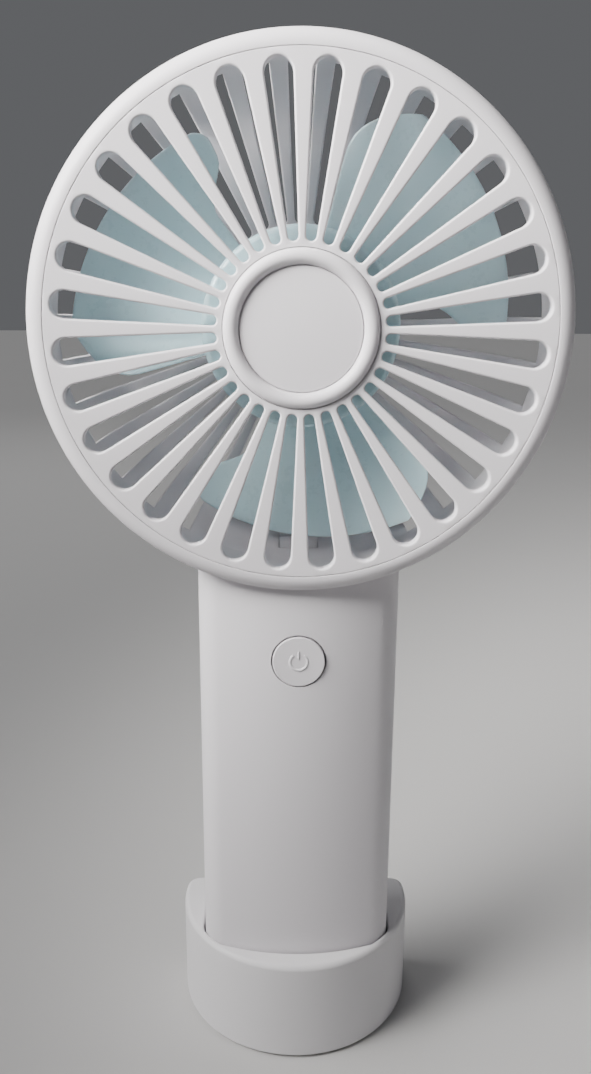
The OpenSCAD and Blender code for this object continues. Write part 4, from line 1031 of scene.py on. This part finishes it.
def blade_unit():
    """One swept blade with rounded edges, its leading edge at the back."""
    root = HUB_R - HUB_WALL / 2
    front, back = HUB_FRONT_D + 1.2, HUB_BACK_D - 0.8

    def span(r):
        return (r - HUB_R) / (TIP_R - HUB_R)

    def ramp(t):
        t = min(1, max(0, t))
        return t * t * (3 - 2 * t)

    near = [0, 0.0012, 0.004, 0.008, 0.0135]
    us = near + [0.03 + 0.94 * k / 34 for k in range(35)] + [1 - t for t in near[::-1]]
    vs = [0.955 * k / 18 for k in range(19)] + [0.976, 0.985, 0.992, 0.997, 1.0]
    points = []
    for side in (-1, 1):
        for v in vs:
            for u in us:
                r = root + v * (TIP_R - TIP_SWEEP * (1 - u) ** 2 - root)
                lead = LEAD_ANGLE * (1 - ramp((span(r) - 0.31) / 0.38)) \
                    + 6 * (max(0, span(r) - 0.79) / 0.17) ** 3
                trail = TRAIL_ANGLE - TRAIL_SWEEP * (max(0, span(r) - 0.48) / 0.52) ** 2.5
                a = math.radians(lead + u * (trail - lead))
                run = math.radians(trail - lead) * r
                rim = min(u * run, (1 - u) * run, (1 - v) * (TIP_R - root), BLADE_EDGE) / BLADE_EDGE
                half = BLADE_T / 2 * math.sqrt(max(0, 1 - (1 - rim) ** 2))
                d = back + u * (front - back) + CAMBER * u * (1 - u) + side * half
                points.append(Vector((r * math.cos(a) * MM, d * MM, r * math.sin(a) * MM)))
    n, rows = len(us), len(vs)
    faces = grid_faces(rows, n) + grid_faces(rows, n, rows * n)
    faces += [(j, j + 1, rows * n + j + 1, rows * n + j) for j in range(n - 1)]
    mesh = bpy.data.meshes.new("blade")
    mesh.from_pydata([tuple(p) for p in points], [], faces)
    return tidy_mesh(mesh, 1e-7)


def impeller_mesh(blades):
    """The hub with its blades, as one solid."""
    swept = round_pattern("blades", [blade_unit()], blades, math.radians(-3), finish("impeller_plastic"))
    boss_back = SEAT_FRONT_D - 1.3 - 0.4
    hub = turned("hub", rounded([
        (0, HUB_FRONT_D, 0), (HUB_R, HUB_FRONT_D, 1.2), (HUB_R, HUB_BACK_D, 0.35),
        (HUB_R - HUB_WALL, HUB_BACK_D, 0.35), (HUB_R - HUB_WALL, HUB_FRONT_D + 1.5, 0.8),
        (BOSS_R, HUB_FRONT_D + 1.5, 0.4), (BOSS_R, boss_back, 0.25), (BORE_R, boss_back, 0),
        (BORE_R, HUB_FRONT_D + 1.3, 0), (0, HUB_FRONT_D + 1.3, 0)]), 180)
    return combined(hub, [swept], "UNION", "impeller_union")


SIGN_R, SIGN_LINE = 1.75, 0.3
FLANGE_W, FLANGE_T = 1.2, 0.8
STEM_R, STEM_BACK_D = 1.7, 9.7


def power_sign():
    """A ring with a gap and a bar, as a raised half-round line on the button."""
    paths = [[(SIGN_R * math.sin(math.radians(a)), SIGN_R * math.cos(math.radians(a)))
              for a in np.linspace(36, 324, 56)], [(0, 0.6), (0, 1.2), (0, 1.8), (0, 2.3)]]
    made = []
    for path in paths:
        rings = []
        for k, (x, z) in enumerate(path):
            before, after = path[max(0, k - 1)], path[min(len(path) - 1, k + 1)]
            t = Vector((after[0] - before[0], after[1] - before[1])).normalized()
            side = Vector((t.y, -t.x))
            size = SIGN_LINE * (0.55 if k in (0, len(path) - 1) else 1)
            rings.append([(x + side.x * size * math.cos(b),
                           BUTTON_FRONT_D - 0.2 * math.sin(b) + 0.04,
                           BUTTON_Z + z + side.y * size * math.cos(b))
                          for b in (2 * math.pi * j / 12 for j in range(12))])
        made.append(loft("sign", rings))
    return made


FLAT_ANGLE = math.radians(1.0)
SHARP_ANGLE = math.radians(40)


def polished(node, edge):
    """A copy of a frame node with its flat areas joined and its sharp edges rounded."""
    mesh = frame["nodes"][node].data.copy()
    bm = bmesh.new()
    bm.from_mesh(mesh)
    bmesh.ops.remove_doubles(bm, verts=bm.verts, dist=2e-6)
    bmesh.ops.dissolve_limit(bm, angle_limit=FLAT_ANGLE, verts=bm.verts, edges=bm.edges)
    bm.to_mesh(mesh)
    bm.free()
    made = scratch_object(mesh)
    step = made.modifiers.new("Edges", "BEVEL")
    step.width, step.segments, step.limit_method = edge * MM, 2, "ANGLE"
    step.angle_limit = SHARP_ANGLE
    step.use_clamp_overlap = True
    return settled(made, node + "_fine")


def polish_nodes(nodes, edge):
    """Puts an edge-rounded copy in place of each frame node."""
    for node in nodes:
        add_piece(node + "_fine", polished(node, edge), node)


def repaint_nodes(nodes):
    """Gives frame nodes that keep their own mesh the finish of their slot."""
    for node in nodes:
        data = frame["nodes"][node].data
        data.materials.clear()
        data.materials.append(finish(SLOT_OF[node]))


# ---------- operators ----------


class FAN_OT_cradle(bpy.types.Operator):
    """Make the cradle with its socket for the handle, and the pad under it"""

    bl_idname = "fan.cradle"
    bl_label = "Cradle"

    def execute(self, context):
        cup, pad = cradle_meshes()
        add_piece("cradle_cup", cup, "base_cup")
        add_piece("cradle_pad", pad, "base_pad")
        return {"FINISHED"}


class FAN_OT_front_shell(bpy.types.Operator):
    """Make the front shell: the head's ring, the handle's front and the button's opening"""

    bl_idname = "fan.front_shell"
    bl_label = "Front shell"

    def execute(self, context):
        mesh = front_shell_mesh(context.scene.fan_shell.seam / MM)
        add_piece("shell_front", mesh, "front_shell")
        return {"FINISHED"}


class FAN_OT_rear_shell(bpy.types.Operator):
    """Make the rear shell: the ribbed guard, the motor's seat and the handle's back"""

    bl_idname = "fan.rear_shell"
    bl_label = "Rear shell"

    def execute(self, context):
        shell = context.scene.fan_shell
        mesh = rear_shell_mesh(shell.rib_edge / MM, shell.seam / MM)
        add_piece("shell_rear", mesh, "rear_shell")
        return {"FINISHED"}


class FAN_OT_grille(bpy.types.Operator):
    """Make the slotted grille, its raised hub ring and its hub cap"""

    bl_idname = "fan.grille"
    bl_label = "Front grille"

    def execute(self, context):
        unit = slot_unit(context.scene.fan_shell.slot_edge / MM)
        plate = round_pattern("grille", [unit], SLOTS, SLOT_PITCH / 2, finish("grille_plastic"))
        add_piece("grille_plate", plate, "front_grille")
        outer = float(HUB[1][0])
        half, middle = 2.95 / 2, HUB_SEAT_D / 2
        profile = [(outer - half + half * math.cos(a), middle - half * math.sin(a))
                   for a in (math.pi * k / 24 for k in range(25))]
        profile += [(outer - 2 * half, HUB_SEAT_D), (outer, HUB_SEAT_D)]
        add_piece("grille_hub_ring", turned("ring", profile, 192), "hub_ring")
        r = outer - 2 * half - 0.1
        crown = [(r * k / 12, -0.3 * (1 - (k / 12) ** 2)) for k in range(12)]
        cap = crown + [(r - 0.12, 0.03), (r, 0.16), (r, HUB_SEAT_D), (2, HUB_SEAT_D), (2, 3), (0, 3)]
        add_piece("grille_hub_cap", turned("cap", cap, 192), "hub_cap")
        return {"FINISHED"}


class FAN_OT_impeller(bpy.types.Operator):
    """Make the impeller: a hub with swept translucent blades"""

    bl_idname = "fan.impeller"
    bl_label = "Impeller"

    def execute(self, context):
        mesh = impeller_mesh(context.scene.fan_impeller.blades)
        add_piece("impeller_blades", mesh, "impeller", angle=50)
        return {"FINISHED"}


class FAN_OT_button(bpy.types.Operator):
    """Make the power button with its raised sign"""

    bl_idname = "fan.button"
    bl_label = "Power button"

    def execute(self, context):
        front = BUTTON_FRONT_D
        flange, flange_r = SLEEVE_BACK_D + BUTTON_GAP, BUTTON_R + FLANGE_W
        cap = turned("cap", rounded([
            (0, front, 0), (BUTTON_R, front, 0.2), (BUTTON_R, flange, 0), (flange_r, flange, 0.15),
            (flange_r, flange + FLANGE_T, 0.15), (STEM_R, flange + FLANGE_T, 0),
            (STEM_R, STEM_BACK_D, 0.15), (0, STEM_BACK_D, 0)], 6), 128, BUTTON_Z)
        mesh = combined(cap, power_sign(), "UNION", "button")
        add_piece("button_cap", mesh, "power_button")
        return {"FINISHED"}


class FAN_OT_motor(bpy.types.Operator):
    """Finish the motor: can, end cap, shaft, bushings, rotor, brushes, magnets and retainer"""

    bl_idname = "fan.motor"
    bl_label = "Motor"

    def execute(self, context):
        polish_nodes(("motor_can", "motor_retainer"), 0.3)
        polish_nodes(("motor_end_cap", "front_bushing", "rear_bushing", "rotor_core", "rotor_windings",
                      "commutator", "motor_brushes", "motor_magnets", "motor_shaft"), 0.08)
        return {"FINISHED"}


class FAN_OT_electrics(bpy.types.Operator):
    """Finish the cell, the circuit board, the charging socket and the light"""

    bl_idname = "fan.electrics"
    bl_label = "Electrics"

    def execute(self, context):
        polish_nodes(("battery_cell", "battery_pads", "switch_body", "charge_controller",
                      "board_inductor"), 0.25)
        polish_nodes(("main_board", "battery_tabs", "switch_plunger", "socket_shell", "socket_tongue",
                      "board_capacitors", "status_light", "light_pipe"), 0.08)
        return {"FINISHED"}


class FAN_OT_fixings(bpy.types.Operator):
    """Finish the screws, the wires and the cover of the wires' channel"""

    bl_idname = "fan.fixings"
    bl_label = "Screws and wires"

    def execute(self, context):
        polish_nodes(("retainer_screws", "board_screws", "case_screws"), 0.1)
        polish_nodes(("wire_cover",), 0.2)
        repaint_nodes(("motor_wires", "battery_wires"))
        return {"FINISHED"}


OBJECT_MIDDLE = (0, 0, 0.11)
FLOOR_HALF, FLOOR_CELLS = 3.0, 24
KEY_PLACE, KEY_TARGET = (-0.22, -0.12, 0.37), (-0.01, 0, 0.25)
KEY_SIZE, KEY_SPREAD = 0.24, math.radians(64)
SUN_DIRECTION, SUN_ANGLE = Vector((0.8, 0.05, -0.6)), math.radians(40)
FILL_PLACE, FILL_SIZE = (0.60, -0.50, 0.30), 0.7
BACK_PLACE, BACK_SIZE = (-0.2, 0.7, 0.6), 0.6
CAMERA_PLACE = Vector((-0.00263, -0.18763, 0.16571))
CAMERA_TURN = (0.265, -0.010, 0.004)


def area_light(name, place, target, size, power, colour=(1, 1, 1)):
    """A round lamp that faces a target."""
    data = bpy.data.lights.new(name, "AREA")
    data.shape, data.size, data.energy, data.color = "DISK", size, power, colour
    lamp = bpy.data.objects.new(name, data)
    bpy.context.scene.collection.objects.link(lamp)
    lamp.location = place
    lamp.rotation_euler = (Vector(target) - Vector(place)).to_track_quat("-Z", "Y").to_euler()
    return lamp


class FAN_OT_stage(bpy.types.Operator):
    """Lay the plain floor and set the soft studio light and the camera"""

    bl_idname = "fan.stage"
    bl_label = "Stage"

    def execute(self, context):
        stage = context.scene.fan_stage
        size, cells = FLOOR_HALF, FLOOR_CELLS
        points = [Vector((-size + 2 * size * i / cells, -size + 2 * size * j / cells, 0))
                  for j in range(cells + 1) for i in range(cells + 1)]
        mesh = bpy.data.meshes.new("floor")
        mesh.from_pydata([tuple(p) for p in points], [], grid_faces(cells + 1, cells + 1))
        floor = scratch_object(mesh)
        mesh.materials.append(surface("floor_finish", tuple(stage.floor_colour), 0.85, scale=500,
                                      depth=0.05, mottle=0.02, mottle_scale=6))
        key = area_light("key", KEY_PLACE, KEY_TARGET, KEY_SIZE, stage.key_power, (1.0, 0.985, 0.97))
        key.data.spread = KEY_SPREAD
        sun = bpy.data.objects.new("soft_sun", bpy.data.lights.new("soft_sun", "SUN"))
        sun.data.energy, sun.data.angle = stage.sun, SUN_ANGLE
        sun.rotation_euler = SUN_DIRECTION.to_track_quat("-Z", "Y").to_euler()
        context.scene.collection.objects.link(sun)
        area_light("fill", FILL_PLACE, OBJECT_MIDDLE, FILL_SIZE, stage.fill_power, (0.95, 0.97, 1.0))
        area_light("back", BACK_PLACE, OBJECT_MIDDLE, BACK_SIZE, stage.back_power)
        world = bpy.data.worlds.new("studio")
        world.use_nodes = True
        ground = world.node_tree.nodes["Background"]
        ground.inputs[0].default_value = (0.93, 0.95, 1.0, 1)
        ground.inputs[1].default_value = stage.sky
        context.scene.world = world
        data = bpy.data.cameras.new("camera")
        data.sensor_fit, data.sensor_width, data.lens = "AUTO", 36.0, stage.lens
        data.clip_start, data.clip_end = 0.01, 50
        camera = bpy.data.objects.new("camera", data)
        context.scene.collection.objects.link(camera)
        pitch, roll, yaw = CAMERA_TURN
        camera.matrix_world = (Matrix.Translation(CAMERA_PLACE) @ camera_turn(pitch, roll, yaw).to_4x4())
        context.scene.camera = camera
        return {"FINISHED"}


def camera_turn(pitch, roll, yaw):
    """The camera's rotation: level along +Y, then tipped down, rolled and turned."""
    turn = (Matrix.Rotation(yaw, 3, "Z") @ Matrix.Rotation(roll, 3, "Y") @ Matrix.Rotation(pitch, 3, "X"))
    world_to_lens = turn @ Matrix(((1, 0, 0), (0, 0, -1), (0, 1, 0)))
    return world_to_lens.transposed() @ Matrix(((1, 0, 0), (0, -1, 0), (0, 0, -1)))


class FAN_PT_panel(bpy.types.Panel):
    """Lists the steps that build the fan"""

    bl_label = "Handheld Fan"
    bl_idname = "FAN_PT_panel"
    bl_space_type = "VIEW_3D"
    bl_region_type = "UI"
    bl_category = "Fan"

    def draw(self, context):
        scene = context.scene
        for settings in (scene.fan_shell, scene.fan_impeller, scene.fan_stage):
            box = self.layout.box()
            for name in settings.__annotations__:
                box.prop(settings, name)
        for step in STEPS:
            self.layout.operator(step.bl_idname)


STEPS = (FAN_OT_stage, FAN_OT_cradle, FAN_OT_front_shell, FAN_OT_rear_shell, FAN_OT_grille,
         FAN_OT_impeller, FAN_OT_button, FAN_OT_motor, FAN_OT_electrics, FAN_OT_fixings)
GROUPS = {"fan_shell": FanShellSettings, "fan_impeller": FanImpellerSettings,
          "fan_stage": FanStageSettings}


def register():
    for group in GROUPS.values():
        bpy.utils.register_class(group)
    for step in (*STEPS, FAN_PT_panel):
        bpy.utils.register_class(step)
    for name, group in GROUPS.items():
        setattr(bpy.types.Scene, name, PointerProperty(type=group))


def unregister():
    for name in GROUPS:
        delattr(bpy.types.Scene, name)
    for step in (FAN_PT_panel, *STEPS[::-1]):
        bpy.utils.unregister_class(step)
    for group in GROUPS.values():
        bpy.utils.unregister_class(group)


def main():
    register()
    for step in STEPS:
        area, _, name = step.bl_idname.partition(".")
        if getattr(getattr(bpy.ops, area), name)() != {"FINISHED"}:
            raise RuntimeError(f"{step.bl_label} was not finished")


if __name__ == "__main__":
    main()
